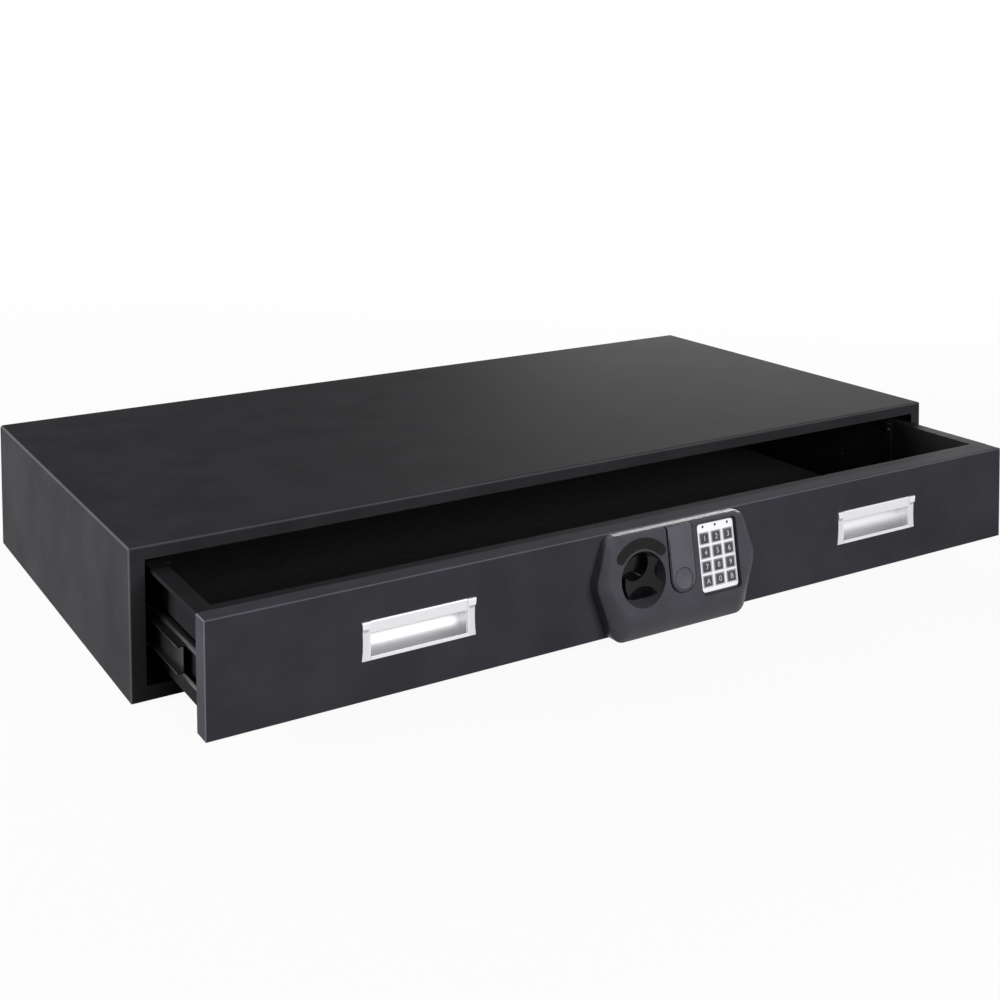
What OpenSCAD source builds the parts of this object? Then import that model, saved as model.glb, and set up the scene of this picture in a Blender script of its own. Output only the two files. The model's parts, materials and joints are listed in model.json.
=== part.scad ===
// Under-bed safe: a folded steel casing whose one wide drawer runs out on ball slides.
// The drawer's front carries two recessed handles and a moulded lock with a keypad and a knob.
// The knob turns a pinion, which drives three bolts down behind the casing's lower flange.
// Millimetres. The origin is the middle of the casing's underside, the front faces -Y, +Z is up.

/* [Casing] */
// Width of the casing
casing_w = 1219; // [1000:1:1500]
// Depth of the casing, front to back
casing_d = 610; // [480:1:760]
// Height of the casing
casing_h = 175; // [172:1:240]
// Sheet thickness of the casing
casing_t = 2; // [1.5:0.1:3]
// Outside radius of the casing's bends
casing_r = 4; // [3.5:0.5:8]
// Width of the flange at each side of the opening
side_flange = 18.5; // [12:0.5:21]
// Height of the flange above the opening
top_flange = 15.5; // [12:0.5:24]
// Height of the flange below the opening
low_flange = 17.5; // [14:0.5:24]
// Depth of the folded edge round the back plate
back_return = 15; // [8:1:30]
// Diameter of the anchor holes in the floor
anchor_d = 11; // [8:0.5:14]
// Distance between the anchor holes across the casing
anchor_x = 960; // [600:10:980]
// Distance between the anchor holes from front to back
anchor_y = 400; // [200:10:420]

/* [Slides] */
// Width of the spacer channels that carry the slides
spacer_w = 22; // [20:0.5:30]
// Height of the spacer channels
spacer_h = 48; // [48:1:60]
// Width of the welding lips above and below a spacer channel
spacer_lip = 13; // [8:1:16]
// Sheet thickness of the spacer channels
spacer_t = 1.5; // [1:0.1:2]
// Thickness of a slide across its three members
slide_w = 19; // [18.5:0.1:20]
// Height of the middle of the slides above the panel's lower edge
slide_mid = 51.7; // [46:0.1:60]
// Sheet thickness of the slide members
slide_t = 1.2; // [1:0.1:1.4]
// Distance of the slides' fixed members behind the shut front panel's folded edge
slide_back_off = 3; // [2:0.5:10]
// How far the middle members stand in front of the fixed ones when shut
middle_lead = 24; // [0:1:24]
// Room behind the slides inside the casing
slide_room = 54; // [40:1:80]
// Length of the members that stays engaged at full extension
slide_overlap = 50; // [40:1:120]
// Diameter of the slide balls
ball_d = 6.4; // [6:0.1:6.6]
// Height of the ball rows above and below the middle of a slide
ball_v = 18.3; // [17:0.1:19]
// Number of balls in each row
ball_count = 10; // [6:1:14]
// Length of the ball cages
cage_len = 260; // [200:5:260]

/* [Drawer] */
// How far the drawer stands out of the casing at rest
drawer_open = 174; // [0:1:300]
// Distance of the front panel's face behind the casing's front
panel_inset = 3; // [1:0.5:6]
// Sheet thickness of the front panel
panel_t = 2; // [1.5:0.1:3]
// Depth of the front panel's folded edge
panel_d = 24; // [22.5:0.5:30]
// Outside radius of the front panel's bends
panel_r = 2.6; // [2.2:0.1:4]
// Gap at each side of the front panel
panel_side_gap = 5.3; // [2:0.1:7]
// Gap below the front panel
panel_low_gap = 4.8; // [3:0.1:8]
// Gap above the front panel
panel_top_gap = 11.4; // [3:0.1:13]
// Sheet thickness of the tray
tray_t = 1.5; // [1:0.1:2]
// Outside radius of the tray's bends
tray_r = 2.5; // [2.2:0.1:5]
// Width of the flanges along the top of the tray's sides
tray_flange = 18; // [10:0.5:18]
// Depth of the lip on those flanges
tray_lip = 5; // [3:0.5:10]
// Depth of the space for the lock behind the front panel
lock_space = 33; // [31:0.5:50]
// Room behind the tray when the drawer is shut
tray_back_room = 18; // [8:1:40]
// Thickness of the felt floor liner
liner_t = 3.5; // [2:0.5:6]
// Gap round the felt floor liner
liner_gap = 1.2; // [1.1:0.1:3]
// Distance of the side straps behind the closed front
strap_y = 189; // [120:1:260]
// Width of the side straps
strap_w = 14; // [10:1:24]
// Thickness of the side straps
strap_t = 2; // [1.5:0.5:4]

/* [Handles] */
// Distance between the middles of the two handles
handle_pitch = 685; // [520:5:760]
// Overall width of a handle
handle_w = 140; // [110:1:180]
// Overall height of a handle
handle_h = 43; // [43:0.5:50]
// Height of the handles' middle above the panel's lower edge
handle_mid = 65.9; // [50:0.1:80]
// Width of a handle's end caps
cap_w = 10; // [8:0.5:16]
// Inside radius of a handle's trough
trough_r = 18.8; // [17:0.1:19]
// Thickness of the handle's walls
handle_t = 1.6; // [1.2:0.1:2]
// How far the grip strip stands proud of the panel
grip_proud = 1.5; // [1:0.1:4]
// Height of the grip strip
grip_h = 14; // [10:0.5:16]

/* [Lock housing] */
// Height of the housing above the panel's lower edge
housing_top = 124.7; // [122:0.1:128]
// Depth of the face's plane at the housing's top
face_depth = 17; // [15:0.5:22]
// Lean of the face from upright
face_tilt = 9; // [6:0.5:11]
// Depth of the straight side of the housing at its top
skirt_depth = 11; // [8:0.5:14]
// Lean of the edge of the straight side
skirt_tilt = 4.1; // [2:0.1:6]
// Wall of the housing
housing_wall = 2.5; // [2:0.1:3]
// Distance of the knob from the housing's middle
knob_x = -58.7; // [-60:0.1:-58]
// Height of the knob above the panel's lower edge
knob_mid = 72; // [70:0.1:73]
// Radius of the knob's cup at the face
cup_r = 32.2; // [31.5:0.1:32.5]
// Radius of the knob's cup at its floor
cup_floor_r = 30.2; // [29:0.1:31]
// Depth of the cup's floor in front of the panel
cup_floor = 10; // [8:0.5:11]
// Inside radius of the curved recess over the knob
band_in = 34; // [34:0.5:36]
// Outside radius of the curved recess over the knob
band_out = 47.5; // [44:0.5:48]
// Depth of the curved recess
band_depth = 1.2; // [0.6:0.1:1.6]

/* [Knob] */
// Radius of the knob
knob_r = 28; // [26:0.5:28]
// Depth of the knob's front in front of the panel
knob_front = 27; // [24:0.5:30]
// Thickness of the knob's base disc
knob_base = 2; // [1.5:0.1:3]
// Angle that the knob turns through
knob_turn = 90; // [60:5:90]
// Radius of the spindle
spindle_r = 5; // [4:0.5:6]
// Running clearance of shafts and bolts, on the radius
running = 0.05; // [0.02:0.01:0.1]

/* [Key cover] */
// Distance of the key cover from the housing's middle
cover_x = -0.4; // [-1:0.1:1]
// Height of the cover's round end above the panel's lower edge
cover_mid = 64; // [62:0.1:65]
// Radius of the cover's round end
cover_r = 17.9; // [17:0.1:18.2]
// Thickness of the key cover
cover_t = 3; // [2.5:0.1:3.4]
// Gap round the key cover
cover_gap = 0.5; // [0.3:0.1:0.6]
// Width of the open channel beside the key cover, towards the knob
cover_channel = 2; // [0.5:0.1:2]
// Radius of the thumb dimple's mouth
dimple_r = 12.5; // [10:0.5:13]
// Depth of the thumb dimple
dimple_depth = 1.6; // [1:0.1:2]
// Radius of the key plug
plug_r = 6.9; // [6:0.1:7]
// Radius of the key lock's body
lock_body_r = 10; // [9:0.5:10.5]

/* [Keypad] */
// Distance of the keypad from the housing's middle
keypad_x = 55.7; // [55:0.1:56]
// Height of the keypad's middle above the panel's lower edge
keypad_mid = 78.8; // [78:0.1:79.5]
// Depth of the plate's top below the housing's face
keypad_sunk = 3.5; // [2:0.1:3.8]
// Width of the gap round the plate
pocket_gap = 2.9; // [1:0.1:3]
// Width of the keypad plate
plate_w = 55; // [54.5:0.1:56]
// Height of the keypad plate
plate_h = 80.6; // [80:0.1:82]
// Radius of the keypad plate's corners
plate_r = 4; // [1:0.5:6]
// Thickness of the keypad plate
plate_t = 2.6; // [2:0.1:3]
// Distance between the keys across the keypad
key_pitch_x = 18.1; // [16:0.1:18.2]
// Distance between the keys up the keypad
key_pitch_y = 16.9; // [15:0.1:17]
// Width of a key
key_w = 11.5; // [10:0.1:12]
// Height of a key
key_h = 12; // [10:0.1:12.5]
// How far the keys stand out of the plate
key_proud = 0.9; // [0.9:0.1:1.5]
// Gap round each key
key_gap = 0.25; // [0.2:0.05:0.4]
// Travel of the keys
key_travel = 0.8; // [0.4:0.1:1]
// Distance between the indicator lamps
lamp_pitch = 18.9; // [16:0.1:19]
// Radius of an indicator lamp
lamp_r = 1.5; // [1:0.1:2]

/* [Bolt work] */
// Radius of the bolts
bolt_r = 6; // [5:0.5:6.5]
// Distance between the bolts
bolt_pitch = 150; // [130:5:155]
// Distance of the bolts behind the panel's inner face
bolt_y = 8.5; // [8:0.5:9]
// Height of the drawn bolts' tips above the panel's lower edge
bolt_tip = 0.7; // [0.5:0.1:1.5]
// Module of the rack and pinion
gear_module = 1; // [0.9:0.1:1.1]
// Number of teeth on the pinion
pinion_teeth = 21; // [18:1:22]
// Play between the teeth
tooth_play = 0.2; // [0.1:0.05:0.3]
// Thickness of the bolt carriage
carriage_t = 3; // [2:0.5:3]
// Radius of the pins that guide the carriage
pin_r = 3; // [2.5:0.5:4]
// Distance between the guide pins
pin_pitch = 220; // [200:5:260]
// Radius of the solenoid's plunger
plunger_r = 2.5; // [2:0.1:3]
// Stroke of the solenoid's plunger
plunger_stroke = 5; // [3:0.5:6]

/* [Hidden] */
$fn = 64;
// How far a cutter passes the face that it cuts
over = 1;
// Clearance of a screw in its hole, and of a sheet part that is welded in
screw_gap = 0.1;
weld_gap = 0.1;

// Heights and depths that several pieces share, with the drawer shut and y = 0 at the casing's front
panel_y = panel_inset;
panel_in = panel_y + panel_t;
panel_rear = panel_y + panel_d;
panel_low = low_flange + panel_low_gap;
panel_top = casing_h - top_flange - panel_top_gap;
panel_w = casing_w - 2 * side_flange - 2 * panel_side_gap;
panel_h = panel_top - panel_low;

// The drawer's tray stands on the front panel's lower fold
tray_low = panel_low + panel_t;
floor_z = tray_low + tray_t;
slide_x = casing_t + spacer_w;
tray_half = casing_w / 2 - slide_x - slide_w;
tray_rear = casing_d - casing_t - tray_back_room;
front_wall_y = panel_in + lock_space;
fold_gap = 1;
strap_bolt_zs = [floor_z + 20, panel_top - 14];
strap_bolt_r = 2.5;

// The slides, with the drawer shut
slide_z = panel_low + slide_mid;
slide_front = panel_rear + slide_back_off;
slide_rear = casing_d - slide_room;
middle_front = slide_front - middle_lead;
slide_travel = slide_rear - middle_front - slide_overlap;
slide_screw_r = 2.5;
slide_screw_end = 30;
slide_screw_ys = [slide_front + slide_screw_end, (slide_front + slide_rear) / 2,
    slide_rear - slide_screw_end];

// The rolled section of a slide: s runs across it from its outer web, v up from its middle
ball_r = ball_d / 2;
race_r = ball_r + 0.2;
ball_s = race_r + slide_t;
lip_v = ball_v - 2.6;
flange_v = ball_v - ball_r + 0.1;

// The handles' screws
cap_mid = handle_w / 2 - cap_w / 2;
cap_screw_v = handle_h / 2 - 5;
cap_screw_r = 1.45;

// The lock housing's plan as circles on one side: distance from the middle, height and radius
rim_circles = [[89, 108.7, 16], [87.5, 69.7, 30], [84, 15.7, 16]];
face_circles = [[86, 112.7, 10], [84, 69.7, 20], [76, 40.2, 10]];
boss_places = [[-93, 98.7], [93, 98.7], [-70, 28.7], [70, 28.7]];
boss_r = 4;
housing_screw_r = 1.55;

// The three finger hollows between the knob's arms: place from the knob's middle, and radius
scallops = [[-15.6, 20.7, 18.5], [-1.6, -26.3, 22], [28, 11.7, 17.8]];
knob_back = 0.8;
bush_r = 7;

// The key lock
plug_mid = cover_mid - 2;
cover_bed = -cover_t - 0.3;
lock_rear = 22;

// The keypad: heights from the plate's top
ledge_t = 2;
ledge_wall = 2.3;
pocket_w = plate_w + 2 * pocket_gap;
pocket_h = plate_h + 2 * pocket_gap;
pocket_r = plate_r + 2;
board_post_x = 28.8;
board_post_y = 37.5;
board_top = -9.4;
board_t = 1.6;
board_w = 61.5;
board_h = 83;
window_w = 51.4;
window_h = 77.2;
keys_drop = -2.5;
lamp_y = plate_h / 2 - 3.7;
switch_h = 2.9;
stem_r = 1.75;
stem_in = 0.5;

// The bolt work, with the bolts drawn and heights over the panel's lower edge
pitch_r = gear_module * pinion_teeth / 2;
bolt_stroke = pitch_r * knob_turn * PI / 180;
bolt_back = panel_in + bolt_y;
carriage_y = bolt_back + bolt_r + 0.5;
guide_z = 7.7;
guide_t = 2;
carriage_low = guide_z + guide_t + bolt_stroke + 1;
carriage_top = 45.7;
carriage_end = bolt_pitch + 20;
tab_z = carriage_low + 7.5;
tab_t = 3;
pin_z = carriage_low + 12;
notch_z = carriage_low + 7.5;
hole_gap = 1;
neck_r = bolt_r - 2;
pinion_w = carriage_t + 0.6;

// The solenoid and the batteries
solenoid_x = carriage_end + 11;
solenoid_len = 34;
battery_r = 7.25;
battery_len = 50;
battery_count = 4;
battery_pitch = 2 * battery_r + 0.3;
battery_x = -carriage_end - 28;
battery_z = 40;
holder_wall = 1.5;

// Moves a shape to the casing's front plane
module at_front() {
    translate([0, -casing_d / 2, 0]) children();
}

// Moves a shape with the drawer: share is 1 on the drawer and less on what lags behind it
module pulled_out(share) {
    translate([0, -casing_d / 2 - drawer_open * share, 0]) children();
}

// Puts the lock's own frame on the drawer: y = 0 on the panel's face and z = 0 at its lower edge
module at_lock() {
    pulled_out(1) translate([0, panel_y, panel_low]) children();
}

// Makes the right-hand piece as the left-hand one's mirror image
module on_side(side) {
    if (side < 0) children();
    else mirror([1, 0, 0]) children();
}

// Extrudes a profile drawn in X and Z from y0 back to y1
module along_y(y0, y1) {
    translate([0, y1, 0]) rotate([90, 0, 0]) linear_extrude(y1 - y0) children();
}

// A cylinder that runs back from y0 to y1
module rod_y(x, z, y0, y1, r) {
    translate([x, y1, z]) rotate([90, 0, 0]) cylinder(r = r, h = y1 - y0);
}

// A cylinder that runs across from x0 to x1
module rod_x(x0, x1, y, z, r) {
    translate([x0, y, z]) rotate([0, 90, 0]) cylinder(r = r, h = x1 - x0);
}

// A rectangle with round corners about the origin
module round_rect(w, h, r) {
    square([w - 2 * r, h], center = true);
    square([w, h - 2 * r], center = true);
    for (sx = [-1, 1], sy = [-1, 1]) translate([sx * (w / 2 - r), sy * (h / 2 - r)]) circle(r);
}

// A rectangle from y = 0 back to d, with its two front corners round
module round_front(w, d, r) {
    translate([-w / 2, r]) square([w, d - r]);
    translate([-w / 2 + r, 0]) square([w - 2 * r, d]);
    for (sx = [-1, 1]) translate([sx * (w / 2 - r), r]) circle(r);
}

// A block from y = 0 back to d and z = 0 up to h, round on its front and long edges
module folded_block(w, d, h, r) {
    intersection() {
        translate([0, 0, h / 2]) along_y(0, d) round_rect(w, h, r);
        linear_extrude(h) round_front(w, d, r);
        translate([-w / 2, 0, h / 2]) rotate([90, 0, 90]) linear_extrude(w) rotate(-90) round_front(h, d, r);
    }
}

// A pan folded from sheet: the face is in front and the folded edge runs back
module folded_pan(w, d, h, r, t) {
    difference() {
        folded_block(w, d, h, r);
        translate([0, t, t]) folded_block(w - 2 * t, d + over, h - 2 * t, r - t);
    }
}

// The casing

module case_shell() {
    color("#26262a") at_front() difference() {
        folded_pan(casing_w, casing_d, casing_h, casing_r, casing_t);
        translate([-casing_w / 2 + side_flange, 0, low_flange]) along_y(-over, casing_t + over)
            square([casing_w - 2 * side_flange, casing_h - low_flange - top_flange]);
        for (sx = [-1, 1], sy = [-1, 1])
            translate([sx * anchor_x / 2, casing_d / 2 + sy * anchor_y / 2, -over])
                cylinder(d = anchor_d, h = casing_t + 2 * over);
    }
}

module case_back() {
    w = casing_w - 2 * casing_t - 2 * weld_gap;
    h = casing_h - 2 * casing_t - 2 * weld_gap;
    color("#26262a") at_front() translate([0, casing_d, casing_t + weld_gap]) mirror([0, 1, 0])
        folded_pan(w, back_return, h, casing_r - weld_gap, casing_t);
}

// The holes of a slide's screws through sheet that lies from x0 to x1
module slide_screw_holes(x0, x1) {
    for (y = slide_screw_ys) rod_x(x0 - over, x1 + over, y, 0, slide_screw_r + screw_gap);
}

module slide_spacer(side) {
    color("#1f1f22") at_front() on_side(side) translate([-casing_w / 2 + casing_t, 0, slide_z])
        difference() {
            along_y(slide_front, slide_rear) {
                translate([spacer_w - spacer_t, -spacer_h / 2]) square([spacer_t, spacer_h]);
                for (m = [-1, 1]) scale([1, m]) {
                    translate([0, spacer_h / 2 - spacer_t]) square([spacer_w, spacer_t]);
                    translate([0, spacer_h / 2 - spacer_t]) square([spacer_t, spacer_lip + spacer_t]);
                }
            }
            slide_screw_holes(spacer_w - spacer_t, spacer_w);
        }
}
module slide_spacer_left() slide_spacer(-1);
module slide_spacer_right() slide_spacer(1);

// The slides

// A rolled channel: its web is at s = 0 and its races curl over the two rows of balls
module channel_section() {
    translate([0, -ball_v]) square([slide_t, 2 * ball_v]);
    for (m = [-1, 1]) scale([1, m]) translate([ball_s, ball_v]) difference() {
        circle(race_r + slide_t);
        circle(race_r);
        translate([-slide_w, -slide_w]) square([slide_w, slide_w]);
        translate([-over, lip_v - ball_v - slide_w]) square([slide_w, slide_w]);
    }
}

// The double-sided middle member, which runs between the two rows of balls
module beam_section() {
    web_s = slide_w / 2 - slide_t / 2;
    beam_t = slide_t + 0.3;
    edge = slide_t + 1;
    difference() {
        union() {
            translate([web_s, -flange_v]) square([slide_t, 2 * flange_v]);
            for (v = [-flange_v, flange_v - beam_t]) translate([edge, v])
                square([slide_w - 2 * edge, beam_t]);
        }
        for (m = [-1, 1], s = [ball_s, slide_w - ball_s]) translate([s, m * ball_v]) circle(race_r);
    }
}

// Places what is drawn in the slide's own s and v on one side of the safe
module at_slide(side) {
    on_side(side) translate([-casing_w / 2 + slide_x, 0, slide_z]) children();
}

module slide_outer(side) {
    color("#2e2e32") at_front() at_slide(side) difference() {
        along_y(slide_front, slide_rear) channel_section();
        slide_screw_holes(0, slide_t);
    }
}
module slide_outer_left() slide_outer(-1);
module slide_outer_right() slide_outer(1);

module slide_middle(side) {
    color("#3a3a3e") pulled_out(0.5) at_slide(side)
        along_y(middle_front, slide_rear) beam_section();
}
module slide_middle_left() slide_middle(-1);
module slide_middle_right() slide_middle(1);

module slide_inner(side) {
    color("#2e2e32") pulled_out(1) at_slide(side) difference() {
        along_y(panel_rear, slide_rear) translate([slide_w, 0]) mirror([1, 0]) channel_section();
        slide_screw_holes(slide_w - slide_t, slide_w);
    }
}
module slide_inner_left() slide_inner(-1);
module slide_inner_right() slide_inner(1);

// A ball cage: a strip beside each row, with the balls held in it
module cage(side, share, mirrored) {
    strip_t = 0.5;
    strip_s = slide_t + 0.25;
    strip_h = 3.6;
    first = slide_front + slide_travel / 4 + 4;
    pitch = cage_len / ball_count;
    color("#a8a8ac") pulled_out(share) at_slide(side) translate([mirrored ? slide_w : 0, 0, 0])
        mirror([mirrored ? 1 : 0, 0, 0]) for (m = [-1, 1]) {
            along_y(first, first + cage_len)
                translate([strip_s, m > 0 ? lip_v : -lip_v - strip_h]) square([strip_t, strip_h]);
            for (i = [0 : ball_count - 1])
                translate([ball_s, first + (i + 0.5) * pitch, m * ball_v]) sphere(r = ball_r);
        }
}
module outer_cage_left() cage(-1, 0.25, false);
module outer_cage_right() cage(1, 0.25, false);
module inner_cage_left() cage(-1, 0.75, true);
module inner_cage_right() cage(1, 0.75, true);

// A pan-head screw whose shank runs across from s0 towards s1 and whose head is at s0
module slide_screw(s0, s1, y) {
    head_t = 2;
    head_r = 4.2;
    away = s1 > s0 ? 1 : -1;
    translate([s0, y, 0]) rotate([0, 90 * away, 0]) cylinder(r = slide_screw_r, h = abs(s1 - s0));
    translate([s0, y, 0]) rotate([0, -90 * away, 0]) cylinder(r1 = head_r, r2 = head_r - 0.8, h = head_t);
}

module slide_screws_case() {
    color("#8c8c90") at_front() for (side = [-1, 1], y = slide_screw_ys)
        at_slide(side) slide_screw(slide_t, -spacer_t, y);
}

module slide_screws_drawer() {
    color("#8c8c90") pulled_out(1) for (side = [-1, 1], y = slide_screw_ys)
        at_slide(side) slide_screw(slide_w - slide_t, slide_w + tray_t, y);
}

// The drawer

// A section with round lower corners, cut level at its top
module bin_section(half, low, top, r) {
    difference() {
        translate([0, (low + top) / 2 + r]) round_rect(2 * half, top - low + 2 * r, r);
        translate([-casing_w, top]) square([2 * casing_w, casing_h]);
    }
}

// The tray's folded section: two sides and a floor
module tray_section(top) {
    difference() {
        bin_section(tray_half, tray_low, top, tray_r);
        bin_section(tray_half - tray_t, floor_z, top + over, tray_r - tray_t);
    }
}

module tray_side_flange() {
    translate([tray_half - tray_t, panel_top - tray_t]) square([tray_flange + tray_t, tray_t]);
    translate([tray_half + tray_flange - tray_t, panel_top - tray_lip]) square([tray_t, tray_lip]);
}

module drawer_tray() {
    color("#232326") pulled_out(1) difference() {
        union() {
            along_y(panel_in + fold_gap, panel_rear + over) tray_section(panel_top - panel_t);
            along_y(panel_rear, tray_rear) tray_section(panel_top);
            along_y(panel_rear, tray_rear) for (m = [0, 1]) mirror([m, 0]) tray_side_flange();
        }
        for (i = [-1 : 1]) translate([i * bolt_pitch, bolt_back, tray_low - over])
            cylinder(r = bolt_r + hole_gap, h = tray_t + 2 * over);
        for (side = [-1, 1]) at_slide(side) slide_screw_holes(slide_w, slide_w + tray_t);
    }
}

// A cross wall of the drawer: its top folds towards the front and its foot too
module cross_wall(y, top_d, foot_d) {
    half = tray_half - tray_t - weld_gap;
    foot = half - tray_r;
    along_y(y, y + tray_t) bin_section(half, floor_z, panel_top, tray_r - tray_t + 2 * weld_gap);
    translate([-half, y - top_d, panel_top - tray_t]) cube([2 * half, top_d + tray_t, tray_t]);
    translate([-foot, y - foot_d, floor_z]) cube([2 * foot, foot_d + tray_t, tray_t]);
}

module drawer_front_wall() {
    foot_d = 8;
    color("#232326") pulled_out(1) cross_wall(front_wall_y, front_wall_y - panel_rear, foot_d);
}

module drawer_back() {
    top_d = 12;
    color("#232326") pulled_out(1) cross_wall(tray_rear - tray_t, top_d, 0);
}

module floor_liner() {
    w = 2 * (tray_half - tray_t - liner_gap);
    y0 = front_wall_y + tray_t + liner_gap;
    y1 = tray_rear - tray_t - liner_gap;
    corner = 4;
    color("#161617") pulled_out(1) translate([0, (y0 + y1) / 2, floor_z])
        linear_extrude(liner_t) round_rect(w, y1 - y0, corner);
}

module side_strap(side) {
    low = floor_z + liner_t + 0.5;
    high = panel_top - tray_t;
    hook = 9;
    color("#29292c") pulled_out(1) on_side(side) translate([-tray_half + tray_t, strap_y, 0])
        difference() {
            union() {
                translate([0, 0, low]) cube([strap_t, strap_w, high - low]);
                translate([0, 0, high - strap_t]) cube([hook, strap_w, strap_t]);
            }
            for (z = strap_bolt_zs) rod_x(-over, strap_t + over, strap_w / 2, z, strap_bolt_r + screw_gap);
        }
}
module side_strap_left() side_strap(-1);
module side_strap_right() side_strap(1);

module strap_bolts() {
    head_r = 2 * strap_bolt_r;
    head_t = 3;
    ball = (pow(head_r, 2) + pow(head_t, 2)) / (2 * head_t);
    color("#3c3c40") pulled_out(1) for (side = [-1, 1], z = strap_bolt_zs)
        on_side(side) translate([-tray_half + tray_t, strap_y + strap_w / 2, z]) rotate([0, 90, 0]) {
            cylinder(r = strap_bolt_r, h = strap_t + over);
            intersection() {
                translate([0, 0, strap_t]) cylinder(r = ball, h = 2 * head_t);
                translate([0, 0, strap_t + head_t - ball]) sphere(r = ball);
            }
        }
}

module front_panel() {
    slot_w = handle_w - 2 * cap_w + 1;
    slot_h = 2 * (trough_r + handle_t) + 0.6;
    wire_r = 6;
    color("#2b2b2f") pulled_out(1) translate([0, panel_y, panel_low]) difference() {
        folded_pan(panel_w, panel_d, panel_h, panel_r, panel_t);
        for (m = [-1, 1]) translate([m * handle_pitch / 2, 0, handle_mid])
            along_y(-over, panel_t + over) square([slot_w, slot_h], center = true);
        for (m = [-1, 1], n = [-1, 1])
            rod_y(m * handle_pitch / 2 + n * cap_mid, handle_mid + cap_screw_v, -over, panel_t + over,
                cap_screw_r + 0.25);
        for (p = boss_places) rod_y(p[0], p[1], -over, panel_t + over, housing_screw_r + 0.65);
        rod_y(knob_x, knob_mid, -over, panel_t + over, bush_r + weld_gap);
        rod_y(cover_x, plug_mid, -over, panel_t + over, lock_body_r + weld_gap);
        rod_y(keypad_x, keypad_mid, -over, panel_t + over, wire_r);
        for (i = [-1 : 1]) translate([i * bolt_pitch, bolt_back - panel_y, -over])
            cylinder(r = bolt_r + hole_gap, h = panel_t + 2 * over);
    }
}

// The handles

// A recessed pull: a half-round trough behind the panel, a grip strip over its top and two end caps
module handle(side) {
    inner_w = handle_w - 2 * cap_w;
    top = handle_h / 2;
    grip_low = top - grip_h;
    sill = 1.2;
    sill_h = 4.2;
    color("#c9cacd") at_lock() translate([side * handle_pitch / 2, 0, handle_mid]) {
        difference() {
            translate([-inner_w / 2, 0, 0]) rotate([90, 0, 90]) linear_extrude(inner_w) trough_section();
            translate([-inner_w / 2 + handle_t, 0, 0]) rotate([90, 0, 90])
                linear_extrude(inner_w - 2 * handle_t) circle(trough_r);
        }
        translate([-inner_w / 2, 0, 0]) rotate([90, 0, 90]) linear_extrude(inner_w) {
            polygon([[0, grip_low + 1], [-0.4, grip_low], [-grip_proud, grip_low + 0.6],
                [-grip_proud - 0.6, top - 1.2], [-grip_proud + 0.3, top], [0, top]]);
            translate([-sill, -top]) square([sill, sill_h]);
        }
        for (m = [0, 1]) mirror([m, 0, 0]) end_cap();
    }
}

module trough_section() {
    intersection() {
        circle(trough_r + handle_t);
        translate([0, -handle_h]) square([handle_h, 2 * handle_h]);
    }
}

module end_cap() {
    top = handle_h / 2;
    step_v = 12.6;
    low_proud = 1.2;
    high_proud = 3.4;
    screw_deep = 1.9;
    lap = handle_t / 2;
    bow = 1.4;
    bow_r = (pow(top, 2) + pow(bow, 2)) / (2 * bow);
    difference() {
        translate([handle_w / 2 - cap_w - lap, 0, 0]) rotate([90, 0, 90]) linear_extrude(cap_w + lap)
            polygon([[0, -top], [-low_proud, -top], [-low_proud - 0.3, step_v],
                [-high_proud, step_v + 0.6], [-high_proud, top - 1], [-high_proud + 1, top], [0, top]]);
        rod_y(cap_mid, cap_screw_v, -screw_deep, over, cap_screw_r + 0.05);
        rod_y(handle_w / 2 - bow + bow_r, 0, -high_proud - over, over, bow_r);
    }
}
module handle_left() handle(-1);
module handle_right() handle(1);

module handle_screws() {
    color("#9a9a9e") at_lock() for (m = [-1, 1], n = [-1, 1]) {
        x = m * handle_pitch / 2 + n * cap_mid;
        z = handle_mid + cap_screw_v;
        rod_y(x, z, -1.8, panel_t + 0.5, cap_screw_r);
        rod_y(x, z, panel_t, panel_t + 1.8, 2 * cap_screw_r);
    }
}

// The moulded lock housing

// Leans a plane back about the housing's top: x across, y up the slope and z out of it
module leaning(depth, tilt) {
    translate([0, -depth, housing_top]) rotate([90 - tilt, 0, 0]) children();
}

module on_face() {
    leaning(face_depth, face_tilt) children();
}

// Turns a height above the panel's lower edge into a place up the slope
function up_face(height) = (height - housing_top) / cos(face_tilt);

// Depth of the leaning face in front of the panel at a height
function face_at(height) = face_depth + (housing_top - height) * tan(face_tilt);

module discs(circles, tilt, grow, low, high) {
    for (c = circles, m = [-1, 1])
        translate([m * c[0], (c[1] - housing_top) / cos(tilt), low])
            cylinder(r = c[2] + grow, h = high - low, $fn = 32);
}

function mix(a, b, share) = a + (b - a) * share;

// The housing's outer form, or its hollow when it is drawn in by a wall.
// Between the face and the rim, each layer has a share of the rim's plan and a share of its depth.
module housing_form(wall) {
    layer = 0.1;
    shoulder = [[0, 0], [0.16, 0.04], [0.36, 0.14], [0.6, 0.34], [0.82, 0.64], [1, 1]];
    hull() {
        leaning(0, 0) discs(rim_circles, 0, -wall, wall > 0 ? -over : 0, layer);
        for (s = shoulder) {
            tilt = mix(face_tilt, skirt_tilt, s[1]);
            leaning(mix(face_depth, skirt_depth, s[1]) - wall, tilt)
                discs([for (i = [0 : 2]) mix(face_circles[i], rim_circles[i], s[0])], tilt, -wall, -layer, 0);
        }
    }
}

// The key cover's outline on the face: a round end with straight sides up to the top
module cover_outline(grow, height) {
    translate([cover_x, up_face(cover_mid)]) {
        circle(cover_r + grow);
        translate([-cover_r - grow, 0]) square([2 * (cover_r + grow), height]);
    }
}

// The bed that the key cover slides in, with the open channel on one side
module bed_outline(grow, height) {
    for (dx = [-cover_channel, 0]) translate([dx, 0]) cover_outline(cover_gap + grow, height);
}

// The keypad's own frame: z = 0 is the plate's top
module keypad_spot() {
    on_face() translate([keypad_x, up_face(keypad_mid), -keypad_sunk]) children();
}

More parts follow.
